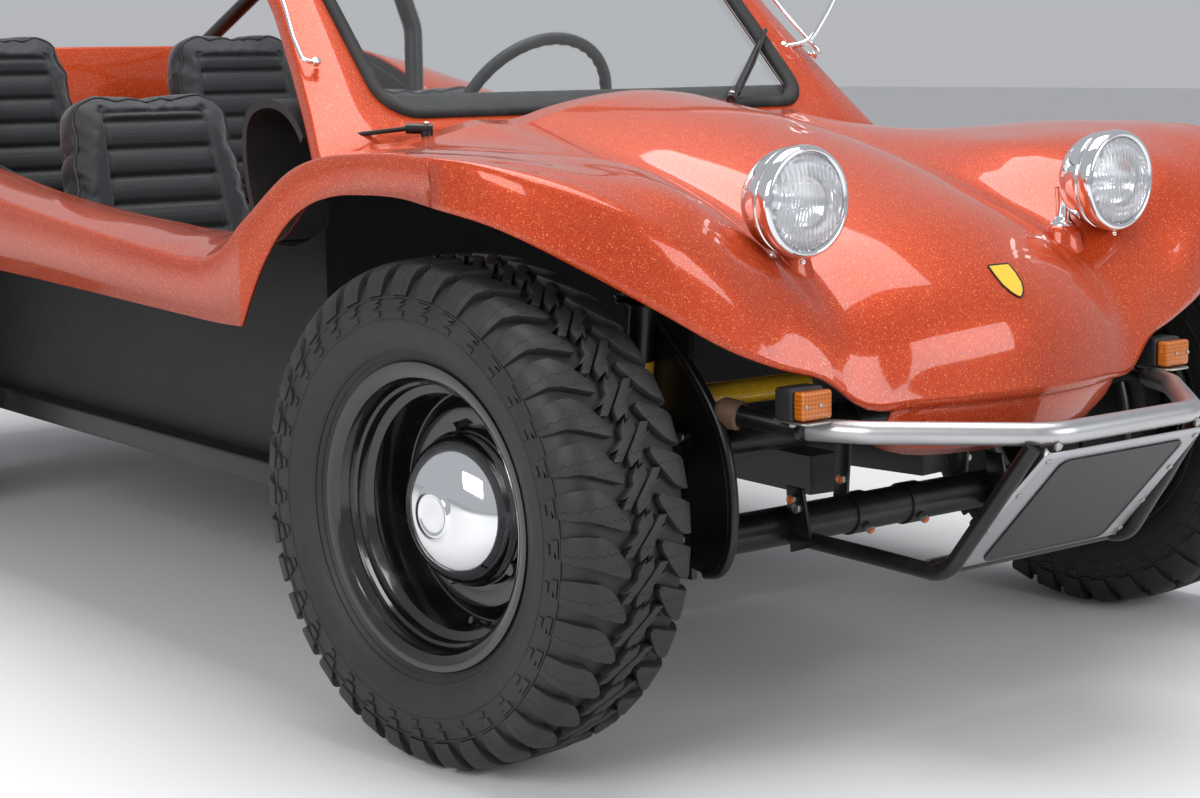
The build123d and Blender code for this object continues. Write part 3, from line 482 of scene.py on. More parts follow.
def swept_skin(shape, sections):
    """A sheet through the sections; gives its rows of corners."""
    row = [shape.verts.new(place) for place in sections[0]]
    for pair in zip(row, row[1:]):
        shape.edges.new(pair)
    rows = [row]
    for places in sections[1:]:
        rows.append(grow(shape, rows[-1], places))
    return rows


def point_out(shape, spot, toward):
    """Turns all faces over if the one nearest to the spot looks the wrong way."""
    bmesh.ops.recalc_face_normals(shape, faces=shape.faces)
    nearest = min(shape.faces, key=lambda face: (face.calc_center_median() - Vector(spot)).length)
    if nearest.normal.dot(Vector(toward)) < 0:
        bmesh.ops.reverse_faces(shape, faces=shape.faces)


def corners_of(made):
    """The corners among what an operator made."""
    return [item for item in made if isinstance(item, bmesh.types.BMVert)]


def faces_of(made):
    """The faces among what an operator made."""
    return [item for item in made if isinstance(item, bmesh.types.BMFace)]


def metres(outline):
    """An outline of pairs in millimetres, in metres."""
    return [(first / 1000, second / 1000) for first, second in outline]


def bevelled(shape, edges, width, segments=2, profile=0.5):
    """Rounds those edges."""
    bmesh.ops.bevel(
        shape, geom=edges, offset=width, offset_type="OFFSET", affect="EDGES", segments=segments, profile=profile,
        material=-1, clamp_overlap=True,
    )


def soften(shape, width, over=35, segments=2):
    """Bevels every edge that is sharper than an angle."""
    shape.normal_update()
    sharp = [e for e in shape.edges if len(e.link_faces) == 2 and e.calc_face_angle(0) > radians(over)]
    bevelled(shape, sharp, width, segments)


def piece(shape, name, finishes, body, stands_for=(), smooth=35):
    """Makes the object of a bmesh: finished, shaded, riding on a body."""
    mesh = bpy.data.meshes.new(name)
    shape.to_mesh(mesh)
    shape.free()
    made = bpy.data.objects.new(name, mesh)
    scene.collection.objects.link(made)
    for finish in finishes if isinstance(finishes, (list, tuple)) else [finishes]:
        mesh.materials.append(finish)
    mesh.shade_smooth()
    mesh.set_sharp_from_angle(angle=radians(smooth))
    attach(made, body)
    if stands_for:
        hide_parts(*stands_for)
    return made


def walled(made, wall, inner=0):
    """Gives a skin its thickness inwards; the inner side may have a finish of its own."""
    thick = made.modifiers.new("wall", "SOLIDIFY")
    thick.thickness = wall
    thick.offset = -1
    thick.material_offset = inner
    return made


def turned(outline, centre, axis, up, steps, shape=None):
    """Spins an outline of (along the axis, radius) pairs into a closed ring."""
    shape = shape or bmesh.new()
    centre, axis, up = Vector(centre), Vector(axis).normalized(), Vector(up).normalized()
    corners = [shape.verts.new(centre + axis * along + up * radius) for along, radius in outline]
    edges = [shape.edges.new(pair) for pair in zip(corners, corners[1:])]
    bmesh.ops.spin(
        shape, geom=corners + edges, cent=centre, axis=axis, dvec=(0, 0, 0), angle=2 * pi, steps=steps,
        use_merge=True, use_duplicate=False,
    )
    bmesh.ops.remove_doubles(shape, verts=shape.verts, dist=1e-5)
    bmesh.ops.recalc_face_normals(shape, faces=shape.faces)
    return shape


def rod(shape, points, radius, sides=16, closed_ends=True):
    """A round bar along a chain of points, made by extruding its end ring."""
    points = [Vector(point) for point in points]
    ring = None
    for index, spot in enumerate(points):
        ahead = (points[min(index + 1, len(points) - 1)] - points[max(index - 1, 0)]).normalized()
        if ring is None:
            turn = ahead.to_track_quat("Z", "Y")
            made = bmesh.ops.create_circle(shape, cap_ends=closed_ends, segments=sides, radius=radius)
            ring = made["verts"]
            for corner in ring:
                corner.co = spot + turn @ corner.co
            edges = list({edge for corner in ring for edge in corner.link_edges})
            last = ahead
        else:
            grown = bmesh.ops.extrude_edge_only(shape, edges=edges)["geom"]
            ring = corners_of(grown)
            inside = set(ring)
            turn = last.rotation_difference(ahead)
            for corner in ring:
                corner.co = spot + turn @ (corner.co - points[index - 1])
            edges = [e for e in grown if isinstance(e, bmesh.types.BMEdge) and set(e.verts) <= inside]
            last = ahead
    if closed_ends:
        bmesh.ops.contextual_create(shape, geom=edges)
    return shape


def dressed(node, finish, bevel=0.002, segments=2, over=35, merge=2e-5, smooth=35):
    """A merged copy of a CAD node with softened edges, which stands for it."""
    shape = bmesh.new()
    shape.from_mesh(nodes[node].data)
    bmesh.ops.remove_doubles(shape, verts=shape.verts, dist=merge)
    bmesh.ops.dissolve_limit(
        shape, angle_limit=radians(1.5), verts=shape.verts, edges=shape.edges, use_dissolve_boundaries=False,
    )
    if bevel:
        soften(shape, bevel, over, segments)
    return piece(shape, node + "_dressed", finish, nodes[node]["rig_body"], (node,), smooth)


def at(x, y, z):
    """A place given from the front axle, in millimetres."""
    return Vector((FRONT_AXLE + x / 1000, y / 1000, z / 1000))


print("helpers ready")

# %% [markdown]
# ## The moulded body
# The real body is one moulding: nose, fenders, low sides and rear fenders run into each other without a seam.
# It could be carved from a block with subdivision, but a skin through measured sections keeps every line where the picture has it.
# The hood is swept across the car; the fender's upright band, the low sides and the rear grow out of its edges.

# %% Hood and front fenders
NOSE = (
    (0, 443, 497, 417, 615, 305, 722, 110, 808, -160, 886, -478, 932),
    (100, 432, 497, 406, 610, 300, 715, 110, 800, -160, 877, -478, 925),
    (200, 405, 497, 381, 598, 285, 697, 110, 772, -160, 848, -478, 908),
    (285, 379, 500, 353, 583, 262, 675, 100, 745, -170, 822, -478, 888),
    (350, 362, 545, 345, 603, 272, 698, 125, 770, -180, 831, -478, 890),
    (420, 350, 566, 331, 636, 262, 745, 115, 815, -180, 841, -478, 876),
    (500, 338, 597, 321, 700, 265, 782, 140, 832, -170, 848, -478, 858),
    (600, 308, 655, 295, 766, 232, 812, 95, 846, -240, 855, -478, 836),
    (700, 243, 722, 228, 819, 155, 846, 20, 860, -280, 851, -478, 795),
    (765, 172, 768, 158, 845, 92, 857, -50, 863, -290, 845, -478, 762),
    (800, 70, 793, 58, 857, 5, 862, -110, 862, -300, 836, -478, 741),
)
FRONT_ARCH = (
    (70, 793), (0, 802), (-110, 803), (-196, 797), (-262, 782), (-330, 750), (-400, 690), (-448, 630), (-478, 584),
)
ALONG, ACROSS = 8, 4


def nose_sections():
    """Smooth sections from the left fender's edge to the right one's."""
    coarse = [(-row[0], row) for row in NOSE[:0:-1]] + [(row[0], row) for row in NOSE]
    lines = [through([at(row[i], -y, row[i + 1]) for i in range(1, 13, 2)], ALONG) for y, row in coarse]
    columns = [through([line[index] for line in lines], ACROSS) for index in range(len(lines[0]))]
    return [list(section) for section in zip(*columns)]


body = bmesh.new()
hood = swept_skin(body, nose_sections())
for edge_row, side in ((hood[0], 1), (hood[-1], -1)):
    arch = evenly(through([at(x, 800 * side, z) for x, z in FRONT_ARCH], 6), len(edge_row) - ALONG)
    grow(body, edge_row[ALONG:], arch)
print("hood", len(hood), "sections of", len(hood[0]), "points")

# %% [markdown]
# ## Low sides and rear fenders
# Each side starts from the hood's own rear corners, so paint and reflections run on without a break.
# One chain of points, from the lower edge over the crease to the cockpit edge, moves back through the sections.

# %% Sides and rear fenders
SIDE = (
    (-540, (800, 583), (800, 700), (680, 780), (556, 846)),
    (-600, (800, 584), (800, 680), (700, 737), (592, 790)),
    (-665, (800, 586), (800, 677), (705, 712), (607, 727)),
    (-800, (800, 590), (800, 686), (705, 703), (607, 704)),
    (-1060, (800, 598), (800, 708), (705, 716), (607, 707)),
    (-1390, (802, 607), (802, 740), (705, 742), (607, 726)),
    (-1700, (818, 616), (818, 776), (710, 778), (607, 760)),
    (-1950, (862, 628), (862, 825), (735, 825), (607, 806)),
)
TAIL = (
    (872, (-2120, 886), (-2330, 925), (-2560, 915), (-2760, 845), (-2905, 725), (-2930, 652)),
    (800, (-2120, 902), (-2330, 950), (-2560, 945), (-2775, 885), (-2935, 765), (-2972, 690)),
    (700, (-2120, 918), (-2330, 982), (-2560, 995), (-2790, 962), (-2965, 850), (-3012, 744)),
    (607, (-2120, 925), (-2330, 1000), (-2560, 1028), (-2790, 1030), (-2985, 930), (-3040, 800)),
)
REAR_ARCH = ((-2120, 765), (-2330, 813), (-2560, 800), (-2760, 716), (-2850, 640), (-2880, 590))
DOOR_SPANS = 16
CHAIN_STEPS = 5  # rows from one chain of the side to the next
FLANGE_ROWS = slice(8, 43)  # rows of the rim whose edge is turned down into the cockpit
DECK_START = 12 * CHAIN_STEPS  # the rim's row at the ridge behind the rear seats


def side_chains(side):
    """Chains across the body side, from just behind the cowl to the tail."""
    chains = []
    for x, lower, crease, shoulder, edge in SIDE:
        top = evenly(through([at(x, side * y, z) for y, z in (crease, shoulder, edge)], 6), DOOR_SPANS + 1)
        chains.append([at(x, side * lower[0], lower[1])] + top)
    for index, arch in enumerate(REAR_ARCH):
        corners = [at(row[index + 1][0], side * row[0], row[index + 1][1]) for row in TAIL]
        top = evenly(through(corners, 6), DOOR_SPANS + 1)
        chains.append([at(arch[0], side * 872, arch[1])] + top)
    return chains


def cowl_corner(side):
    """The corners at the hood's rear edge, from the arch lip over the fender to the windscreen."""
    near = hood[: 4 * ACROSS + 1] if side > 0 else hood[: -4 * ACROSS - 2 : -1]
    top = [line[-1] for line in near]
    lip = min(body.verts, key=lambda corner: (corner.co - at(-478, 800 * side, 584)).length)
    return [lip] + top


deck_sides = []
for side in (1, -1):
    row = cowl_corner(side)
    chains = [[corner.co.copy() for corner in row]] + side_chains(side)
    columns = [through([chain[index] for chain in chains], CHAIN_STEPS) for index in range(len(row))]
    rim = [row[-1]]
    for places in list(zip(*columns))[1:]:
        row = grow(body, row, places)
        rim.append(row[-1])
    cockpit_rim = rim[FLANGE_ROWS]
    grow(body, cockpit_rim, [corner.co - Vector((0, 0, 0.026)) for corner in cockpit_rim])
    deck_sides.append([corner.co.copy() for corner in rim[DECK_START:]])
print("sides", len(rim), "rows each")

# %% [markdown]
# ## Rear wall and deck
# Behind the rear seats a wall rises to a ridge, and the deck rolls down from there to the tail.
# Its two ends are the rear fenders' own inner edges, so it joins them without a gap; between them it bulges a little.

# %% Rear wall and deck
DECK_STEPS = 16
DECK_HALF = 0.607
sections = []
for step in range(DECK_STEPS + 1):
    share = step / DECK_STEPS
    bulge = 1 - (2 * share - 1) ** 2
    chain = [at(-2715, 0, 520), at(-2760, 0, 860)]
    chain = [spot + Vector((0, DECK_HALF * (1 - 2 * share), 0)) for spot in chain]
    for index, (left, other) in enumerate(zip(*deck_sides)):
        lift = Vector((-0.020, 0, 0.012)) * bulge * min(index / 4, 1)
        chain.append(left.lerp(other, share) + lift)
    sections.append(chain)
swept_skin(body, sections)
print("deck", len(sections), "sections")

# %% [markdown]
# ## Valance
# Below the nose an orange strip turns back under the bumper. It follows the lip of the hood, and each section curls inwards.

# %% Valance, then the whole moulding
VALANCE = ((-240, 391), (-200, 405), (-100, 432), (0, 443), (100, 432), (200, 405), (240, 391))
# How far back of the lip, how high, and how much lower in the middle
CURL = (
    (0.006, 0.509, 0), (0.014, 0.486, 0.004), (0.024, 0.478, 0.026), (0.042, 0.472, 0.044), (0.072, 0.470, 0.058),
)
lips = through([at(x, y, 0) for y, x in VALANCE], 4)
sections = []
for spot in lips:
    fall = max(0.0, 1 - (abs(spot.y) / 0.262) ** 6)
    sections.append([spot + Vector((-back, 0, high - low * fall)) for back, high, low in CURL])
swept_skin(body, sections)
bmesh.ops.remove_doubles(body, verts=body.verts, dist=0.0004)
point_out(body, at(0, 0, 850), (0.2, 0, 1))
soften(body, 0.007, 48, 3)
BODY_INSIDE = black_coat("bare_moulding_inside", 300.0, 0.0012, 0.62, 0.25, (0.008, 0.008, 0.008))
moulding = piece(
    body, "body_moulding", [FLAKE_PAINT, BODY_INSIDE], "chassis",
    ("front_body", "side_pod_left", "side_pod_right", "rear_body"), 50,
)
walled(moulding, 0.006, 1)
print("body moulding", len(moulding.data.polygons), "faces")

# %% [markdown]
# ## Mud-terrain tyres
# The real tyre has big leaf-shaped shoulder lugs that wrap onto the sidewall, and two rows of hooked blocks that interlock along the middle.
# The pattern is the same when it is turned half round, so one half is enough: the other half is a turned copy.
# Blocks are drawn flat, as on an unrolled tyre, raised and bevelled there, and only then bent onto the carcass and spun round in 36 steps.

# %% The carcass line, from the crown to the bead
PITCHES = 36
HALF_LINE = (
    (0, 348), (30, 347.8), (60, 346.2), (80, 343), (93, 335), (101.5, 323), (107, 308), (109.5, 290), (108.5, 270),
    (103.5, 252), (95.5, 237), (86, 226), (80, 219), (76, 206),
)
crown_line = [Vector((across / 1000, up / 1000)) for across, up in HALF_LINE]
fine_line = evenly(through([(p.x, p.y, 0) for p in crown_line], 10), 161)
line_length = sum((end - start).length for start, end in zip(fine_line, fine_line[1:]))


def on_carcass(along, height):
    """Distance from the wheel's middle plane and radius, for a place along the line and a height over it."""
    share = min(abs(along) / line_length * 160, 159.0)
    index = int(share)
    spot = fine_line[index].lerp(fine_line[index + 1], share - index)
    lean = (fine_line[index + 1] - fine_line[index]).normalized()
    across = spot.x - lean.y * height
    return math.copysign(across, along) if along else 0.0, spot.y + lean.x * height


print("carcass half line", round(line_length * 1000), "mm")

# %% [markdown]
# ## One pitch of tread
# Outlines are (across, along) in millimetres on the unrolled tyre. The blocks lose height towards the sidewall, where only shallow biters are left.

# %% Tread blocks
PITCH = 2 * pi * 0.360 / PITCHES
LEAF = ((122, -40), (122, -6), (106, -2), (88, 0), (72, 8), (55, 14), (40, 20), (31, 22), (27, 17), (30, 8), (38, -4),
        (50, -20), (62, -33), (74, -40), (90, -43), (106, -43))
HOOK = ((40, 56), (26, 57), (12, 42.5), (0, 30.5), (-12, 18), (-13.5, 13), (-12.5, 0), (2, 0), (3.5, 8), (14, 17), (15, 27),
        (27, 40), (38, 43))
BITER = ((127, -38), (139, -36), (139, -22), (133, -20), (133, -8), (127, -7))
WEDGE = ((143, -30), (151, -29), (151, -14), (143, -12))


def block(sheet, outline, height, edge):
    """Raises one outline from the unrolled carcass and bevels its top."""
    corners = [sheet.verts.new((across / 1000, along / 1000, -0.003)) for across, along in outline]
    floor = bmesh.ops.contextual_create(sheet, geom=corners)["faces"]
    raised = bmesh.ops.extrude_face_region(sheet, geom=floor)["geom"]
    bmesh.ops.translate(sheet, verts=corners_of(raised), vec=(0, 0, height + 0.003))
    bevelled(sheet, list({rim for face in faces_of(raised) for rim in face.edges}), edge)
    bmesh.ops.delete(sheet, geom=[face for face in floor if face.is_valid], context="FACES_ONLY")


def tread_pitch():
    """The blocks of one pitch, still unrolled: one half and its turned copy."""
    sheet = bmesh.new()
    block(sheet, LEAF, 0.0126, 0.0016)
    block(sheet, HOOK, 0.0128, 0.0014)
    block(sheet, BITER, 0.0034, 0.0008)
    block(sheet, WEDGE, 0.0022, 0.0006)
    for across in (0.060, 0.074, 0.084, 0.092, 0.100, 0.108, 0.116):
        everything = sheet.verts[:] + sheet.edges[:] + sheet.faces[:]
        bmesh.ops.bisect_plane(sheet, geom=everything, plane_co=(across, 0, 0), plane_no=(1, 0, 0), dist=1e-6)
    half = sheet.verts[:] + sheet.edges[:] + sheet.faces[:]
    for corner in corners_of(bmesh.ops.duplicate(sheet, geom=half)["geom"]):
        corner.co = (-corner.co.x, 0.0655 - corner.co.y, corner.co.z)
    return sheet


def tyre_shape():
    """A whole tyre round the world's Y axis, with an unrolled map for its finish."""
    shape = tread_pitch()
    unrolled = shape.loops.layers.uv.new("unrolled")
    for face in shape.faces:
        for loop in face.loops:
            loop[unrolled].uv = (loop.vert.co.y / PITCH, loop.vert.co.x * 10)
    for corner in shape.verts:
        along, turn, height = corner.co.x, corner.co.y / 0.360, corner.co.z
        fade = min(max((abs(along) - 0.080) / 0.042, 0.0), 1.0)
        if height > 0 and abs(along) < 0.1225:
            height *= 1 - 0.62 * fade
        across, radius = on_carcass(along, height)
        corner.co = (radius * cos(turn), across, radius * sin(turn))
    pitch_parts = shape.verts[:] + shape.edges[:] + shape.faces[:]
    bmesh.ops.spin(
        shape, geom=pitch_parts, cent=(0, 0, 0), axis=(0, 1, 0), dvec=(0, 0, 0), angle=2 * pi * (PITCHES - 1) / PITCHES,
        steps=PITCHES - 1, use_merge=False, use_duplicate=True,
    )
    lands = ((0.1235, 0.0), (0.1240, 0.0022), (0.1262, 0.0022), (0.1268, 0.0), (0.1545, 0.0), (0.1552, 0.0010),
             (0.1566, 0.0010), (0.1573, 0.0), (0.2010, 0.0), (0.2022, 0.0016), (0.2042, 0.0016), (0.2056, 0.0),
             (0.2120, 0.0), (0.2128, 0.0008), (0.2138, 0.0008), (0.2146, 0.0))
    plain = [(along, 0.0) for along in (0.0, 0.02, 0.04, 0.06, 0.075, 0.088, 0.1, 0.112, 0.134, 0.142, 0.150, 0.163, 0.172,
                                        0.181, 0.190, 0.197, 0.209, 0.2175, 0.2205)]
    stations = sorted(plain + [spot for spot in lands if spot[0] < line_length - 0.003]) + [(line_length - 0.0005, 0.0)]
    stations = [spot for spot in stations if spot[0] < line_length]
    outline = [(-across, radius) for across, radius in (on_carcass(*spot) for spot in reversed(stations[1:]))]
    outline += [on_carcass(*spot) for spot in stations]
    ring = turned(outline, (0, 0, 0), (0, 1, 0), (1, 0, 0), PITCHES * 4)
    for face in ring.faces:
        middle = face.calc_center_median()
        if face.normal.dot(middle * Vector((1, 0, 1))) < 0 and abs(middle.y) < 0.06:
            face.normal_flip()
    mesh = bpy.data.meshes.new("carcass")
    ring.to_mesh(mesh)
    shape.from_mesh(mesh)
    bpy.data.meshes.remove(mesh)
    for face in shape.faces:
        for loop in face.loops:
            if loop[unrolled].uv.length < 1e-9:
                loop[unrolled].uv = (0.5, 2.0)
    return shape


tyre = tyre_shape()
print("tyre", len(tyre.faces), "faces")

# %% [markdown]
# ## Rubber
# Fresh tread is dark and slightly grey where it touches the road. Thin zigzag sipes run across each block, drawn by a
# bump on the unrolled map; their cuts are also painted near black as painted shade.
# Dust lies in the roots of the lugs and around the bead, and fine moulding lines ring the sidewall.

# %% Rubber finish
def tyre_rubber():
    """Dusty rubber, with sipes drawn on the unrolled tread as a bump and painted dark as painted shade."""
    rubber = Finish("tyre_rubber")
    spot = rubber.place()
    strip = rubber.node("UVMap", {"uv_map": "unrolled"})
    around, across = rubber.axes(strip)[:2]
    zigzag = (across / 0.06).of("PINGPONG", 1.0) * 0.07
    sipes = 0
    for phase in (0.30, 0.62):
        away = ((around + zigzag - phase) % 1.0 - 0.5).of("ABSOLUTE")
        sipes = sipes + (1 - away.between(0.006, 0.014))
    sipes = sipes * (1 - across.of("ABSOLUTE").between(1.18, 1.22))
    grain = rubber.noise(spot, 520.0, 4.0, 0.65)
    dust = rubber.noise(spot, 7.0, 6.0, 0.7).between(0.46, 0.82)
    fine_dust = rubber.noise(spot, 90.0, 4.0, 0.6).between(0.5, 0.75)
    tone = rubber.mix(dust * 0.5 + fine_dust * 0.18, (0.014, 0.0145, 0.0155), (0.055, 0.053, 0.050))
    # Painted shade: the sipe cuts are darkened nearly to black, for the shade inside them.
    tone = rubber.mix(sipes * 0.8, tone, (0.003, 0.003, 0.003))
    relief = rubber.bump(1 - sipes, 0.0012, 0.8, rubber.bump(grain, 0.0003, 0.5))
    return rubber.surface(Base_Color=tone, Roughness=0.50 + dust * 0.22 + grain * 0.08, Normal=relief)


RUBBER = tyre_rubber()

# %% [markdown]
# ## Wheels
# Each rim is pressed steel with a stepped barrel, sprayed gloss black, and a disc set well back from the lip.
# The domed cap is polished and carries one plain raised ring. All are turned shapes, so each is one outline, spun round.

# %% Rims, caps and valves
def gloss_black():
    """Stoved black with a little dust."""
    gloss = Finish("gloss_black_enamel")
    spot = gloss.place()
    dust = gloss.noise(spot, 16.0, 6.0, 0.7).between(0.45, 0.85)
    colour = gloss.mix(dust * 0.25, (0.006, 0.006, 0.007), (0.07, 0.065, 0.06))
    peel = gloss.bump(gloss.noise(spot, 130.0, 1.0), 0.0003, 0.25)
    return gloss.surface(
        Base_Color=colour, Roughness=0.14 + dust * 0.30, Normal=peel, Coat_Weight=0.6, Coat_Roughness=0.05,
    )


GLOSS_BLACK = gloss_black()
RIM_LINE = (
    (81, 218), (81, 213), (79, 204), (76, 199), (70, 196.5), (66, 193.5), (60, 192.5), (56, 191), (54, 187.5), (44, 186.5),
    (40, 184.5), (37, 180), (34, 173), (24, 171.5), (0, 171.5), (-20, 171.5), (-34, 172), (-40, 180), (-47, 191),
    (-62, 194), (-74, 199), (-79, 204), (-81, 213), (-81, 218),
)
DISC_LINE = (
    (-27, 172), (-30, 166), (-24, 156), (-15, 150), (-10, 143), (-9, 132), (-12, 122), (-12, 108), (-12, 60), (-12, 30),
)
CAP_LINE = (
    (-4, 112), (2, 112.5), (7, 111), (10, 108), (14, 106.5), (20, 105), (30, 100), (40, 92), (49, 81), (56, 68), (60.5, 54),
    (63, 42), (64.2, 34), (65.6, 32.5), (66.4, 30.5), (66.4, 28.5), (65.4, 26.8), (64.9, 24), (65.6, 12), (65.8, 0.2),
)


def thick_turned(outline, wall, steps, shape=None):
    """A turned sheet of that wall, as a closed solid."""
    shell = shape or bmesh.new()
    line = metres(outline)
    back = []
    for index, (along, radius) in enumerate(line):
        before, after = line[max(index - 1, 0)], line[min(index + 1, len(line) - 1)]
        lean = Vector((after[0] - before[0], after[1] - before[1])).normalized()
        back.append((along + lean.y * wall, radius - lean.x * wall))
    loop = line + back[::-1] + [line[0]]
    return turned(loop, (0, 0, 0), (0, 1, 0), (1, 0, 0), steps, shell)


def wheel_shapes():
    """Rim, disc, five bolts and a valve, round the world's Y axis."""
    rim = thick_turned(RIM_LINE, -0.004, 96)
    disc = thick_turned(DISC_LINE, 0.005, 96)
    for turn in range(5):
        turn_by = 2 * pi * turn / 5 + 0.4
        made = bmesh.ops.create_cone(disc, cap_ends=True, segments=6, radius1=0.011, radius2=0.010, depth=0.014)
        stand = Matrix.Translation((0.115, -0.004, 0)) @ Matrix.Rotation(-pi / 2, 4, "X")
        bmesh.ops.transform(disc, matrix=Matrix.Rotation(turn_by, 4, "Y") @ stand, verts=made["verts"])
    mesh = bpy.data.meshes.new("disc")
    disc.to_mesh(mesh)
    disc.free()
    rim.from_mesh(mesh)
    bpy.data.meshes.remove(mesh)
    rod(rim, [(0.176, 0.022, 0), (0.172, 0.030, 0), (0.163, 0.046, 0), (0.160, 0.050, 0)], 0.0042, 10)
    rod(rim, [(0.1605, 0.0485, 0), (0.1555, 0.0600, 0)], 0.0052, 10)
    return rim


rim_form = wheel_shapes()
cap_form = turned(metres(CAP_LINE), (0, 0, 0), (0, 1, 0), (1, 0, 0), 96)
print("rim", len(rim_form.faces), "cap", len(cap_form.faces))

# %% Four wheels from one tyre, one rim and one cap
STEER_REST = radians(6.0)
KINGPIN = 0.560
WHEELS = {
    "front_left": (FRONT_AXLE, 0.718, STEER_REST, 0.6), "front_right": (FRONT_AXLE, -0.718, STEER_REST, 2.05),
    "rear_left": (REAR_AXLE, 0.750, 0, 1.3), "rear_right": (REAR_AXLE, -0.750, 0, 4.0),
}
for corner_name, (axle, y, steer, turn) in WHEELS.items():
    sense = 1 if y > 0 else -1
    swing = Matrix.Translation((axle, sense * KINGPIN, HUB_HEIGHT)) @ Matrix.Rotation(steer, 4, "Z")
    reach = Matrix.Translation((0, y - sense * KINGPIN, 0)) @ Matrix.Rotation(0 if sense > 0 else pi, 4, "Z")
    seat = swing @ reach @ Matrix.Rotation(turn, 4, "Y")
    for form, kind, finish, slot, smooth in (
        (tyre, "tyre", RUBBER, "tyre_rubber", 32), (rim_form, "rim", GLOSS_BLACK, "rim_gloss", 30),
        (cap_form, "hub_cap", CHROME, "chrome", 60),
    ):
        copy = form.copy()
        bmesh.ops.transform(copy, matrix=seat, verts=copy.verts)
        wheel_body = "wheel_" + corner_name
        piece(copy, kind + "_shape_" + corner_name, finish, wheel_body, (kind + "_" + corner_name,), smooth)
print("wheels", list(WHEELS))

# %% [markdown]
# ## Windscreen
# The surround is moulded with the same paint and leans back at 45 degrees. Its pillars have a fold and flare into the cowl.
# Four loops of points give that fold: the opening, both sides of the crest and the outer edge.
# Bridging them makes the face, and an extrusion makes it solid.

# %% Surround and seal
SLOPE = Vector((-math.sqrt(0.5), 0, math.sqrt(0.5)))
FACE = Vector((math.sqrt(0.5), 0, math.sqrt(0.5)))


def screen(across, up, out=0.0):
    """A place on the windscreen's front face, in millimetres."""
    return at(-522, 0, 865) + Vector((0, across / 1000, 0)) + SLOPE * up / 1000 + FACE * out / 1000


def rounded(points, radius, steps=6, closed=False):
    """A path with its corners rounded."""
    points = [Vector(point) for point in points]
    path = []
    for index, spot in enumerate(points):
        if not closed and index in (0, len(points) - 1):
            path.append(spot)
            continue
        before = (points[index - 1] - spot).normalized()
        after = (points[(index + 1) % len(points)] - spot).normalized()
        half = before.angle(after) / 2
        reach = min(radius / math.tan(half), 0.45 * (points[index - 1] - spot).length)
        handle = 4 / 3 * math.tan((pi / 2 - half) / 2) * reach * math.tan(half)
        start, end = spot + before * reach, spot + after * reach
        path += interpolate_bezier(start, start - before * handle, end - after * handle, end, steps + 1)
    return path


half_edge = [(0, -30), (482, -30), (505, -46), (600, -58), (634, -44), (628, -18), (604, 72), (580, 180), (553, 320),
             (540, 480), (528, 640), (520, 676), (495, 693), (0, 696)]
outer = [(across, up, 0) for across, up in half_edge] + [(-across, up, 0) for across, up in half_edge[-2:0:-1]]
opening = [(0, 52, 0), (468, 52, 0), (454, 646, 0), (-454, 646, 0), (-468, 52, 0)]
opening = [Vector(opening[0])] + rounded(opening, 62, 8, closed=True)[9:] + [Vector(opening[0])]
outer = [Vector(spot) for spot in outer] + [Vector(outer[0])]
LOOP = 160
inner_loop = evenly(opening, LOOP + 1)[:-1]
outer_loop = []
for spot in inner_loop:
    ray = (spot - Vector((0, 330, 0))) * 4
    best = None
    for start, end in zip(outer, outer[1:]):
        span, gap = end - start, start - Vector((0, 330, 0))
        cross = ray.x * span.y - ray.y * span.x
        if abs(cross) > 1e-9:
            share = (gap.x * span.y - gap.y * span.x) / cross
            along = (gap.x * ray.y - gap.y * ray.x) / cross
            if share > 0 and -1e-6 <= along <= 1 + 1e-6:
                best = share if best is None else min(best, share)
    outer_loop.append(Vector((0, 330, 0)) + ray * best)
frame_shape = bmesh.new()
loops = []
for share, out in ((0.0, -3), (0.42, 1.5), (0.5, 0), (1.0, -15)):
    ring = [frame_shape.verts.new(screen(*(i.lerp(o, share)).xy, out)) for i, o in zip(inner_loop, outer_loop)]
    loops.append([frame_shape.edges.new(pair) for pair in zip(ring, ring[1:] + ring[:1])])
for near, far in zip(loops, loops[1:]):
    bmesh.ops.bridge_loops(frame_shape, edges=near + far)
depth = bmesh.ops.extrude_face_region(frame_shape, geom=frame_shape.faces[:])["geom"]
bmesh.ops.translate(frame_shape, verts=corners_of(depth), vec=FACE * -0.028)
bmesh.ops.recalc_face_normals(frame_shape, faces=frame_shape.faces)
soften(frame_shape, 0.005, 55, 3)
surround = piece(frame_shape, "windscreen_frame", FLAKE_PAINT, "chassis", ("windscreen_surround",), 35)

seal_shape = bmesh.new()
SEAL_SECTION = ((-15, -9), (-15, -1), (-11, 3.5), (-5, 5), (1, 7.5), (8, 6.5), (12, 1), (12, -6))
sections = []
for index in range(LOOP + 1):
    spot = inner_loop[index % LOOP]
    run = (inner_loop[(index + 1) % LOOP] - inner_loop[(index - 1) % LOOP]).normalized()
    side = Vector((run.y, -run.x, 0))
    sections.append([screen(*(spot + side * offset).xy, out) for offset, out in SEAL_SECTION])
swept_skin(seal_shape, sections)
bmesh.ops.remove_doubles(seal_shape, verts=seal_shape.verts, dist=1e-5)
point_out(seal_shape, screen(0, 55, 8), FACE)
piece(seal_shape, "windscreen_rubber", SEAL_RUBBER, "chassis", ("windscreen_seal",), 50)
print("surround", len(surround.data.polygons), "faces")

# %% [markdown]
# ## Wipers, pillar bars and mirror
# The right wiper is parked outwards over the cowl, the left one leans up the glass.
# A polished bar for the soft top runs down each pillar and ends in a bolt.

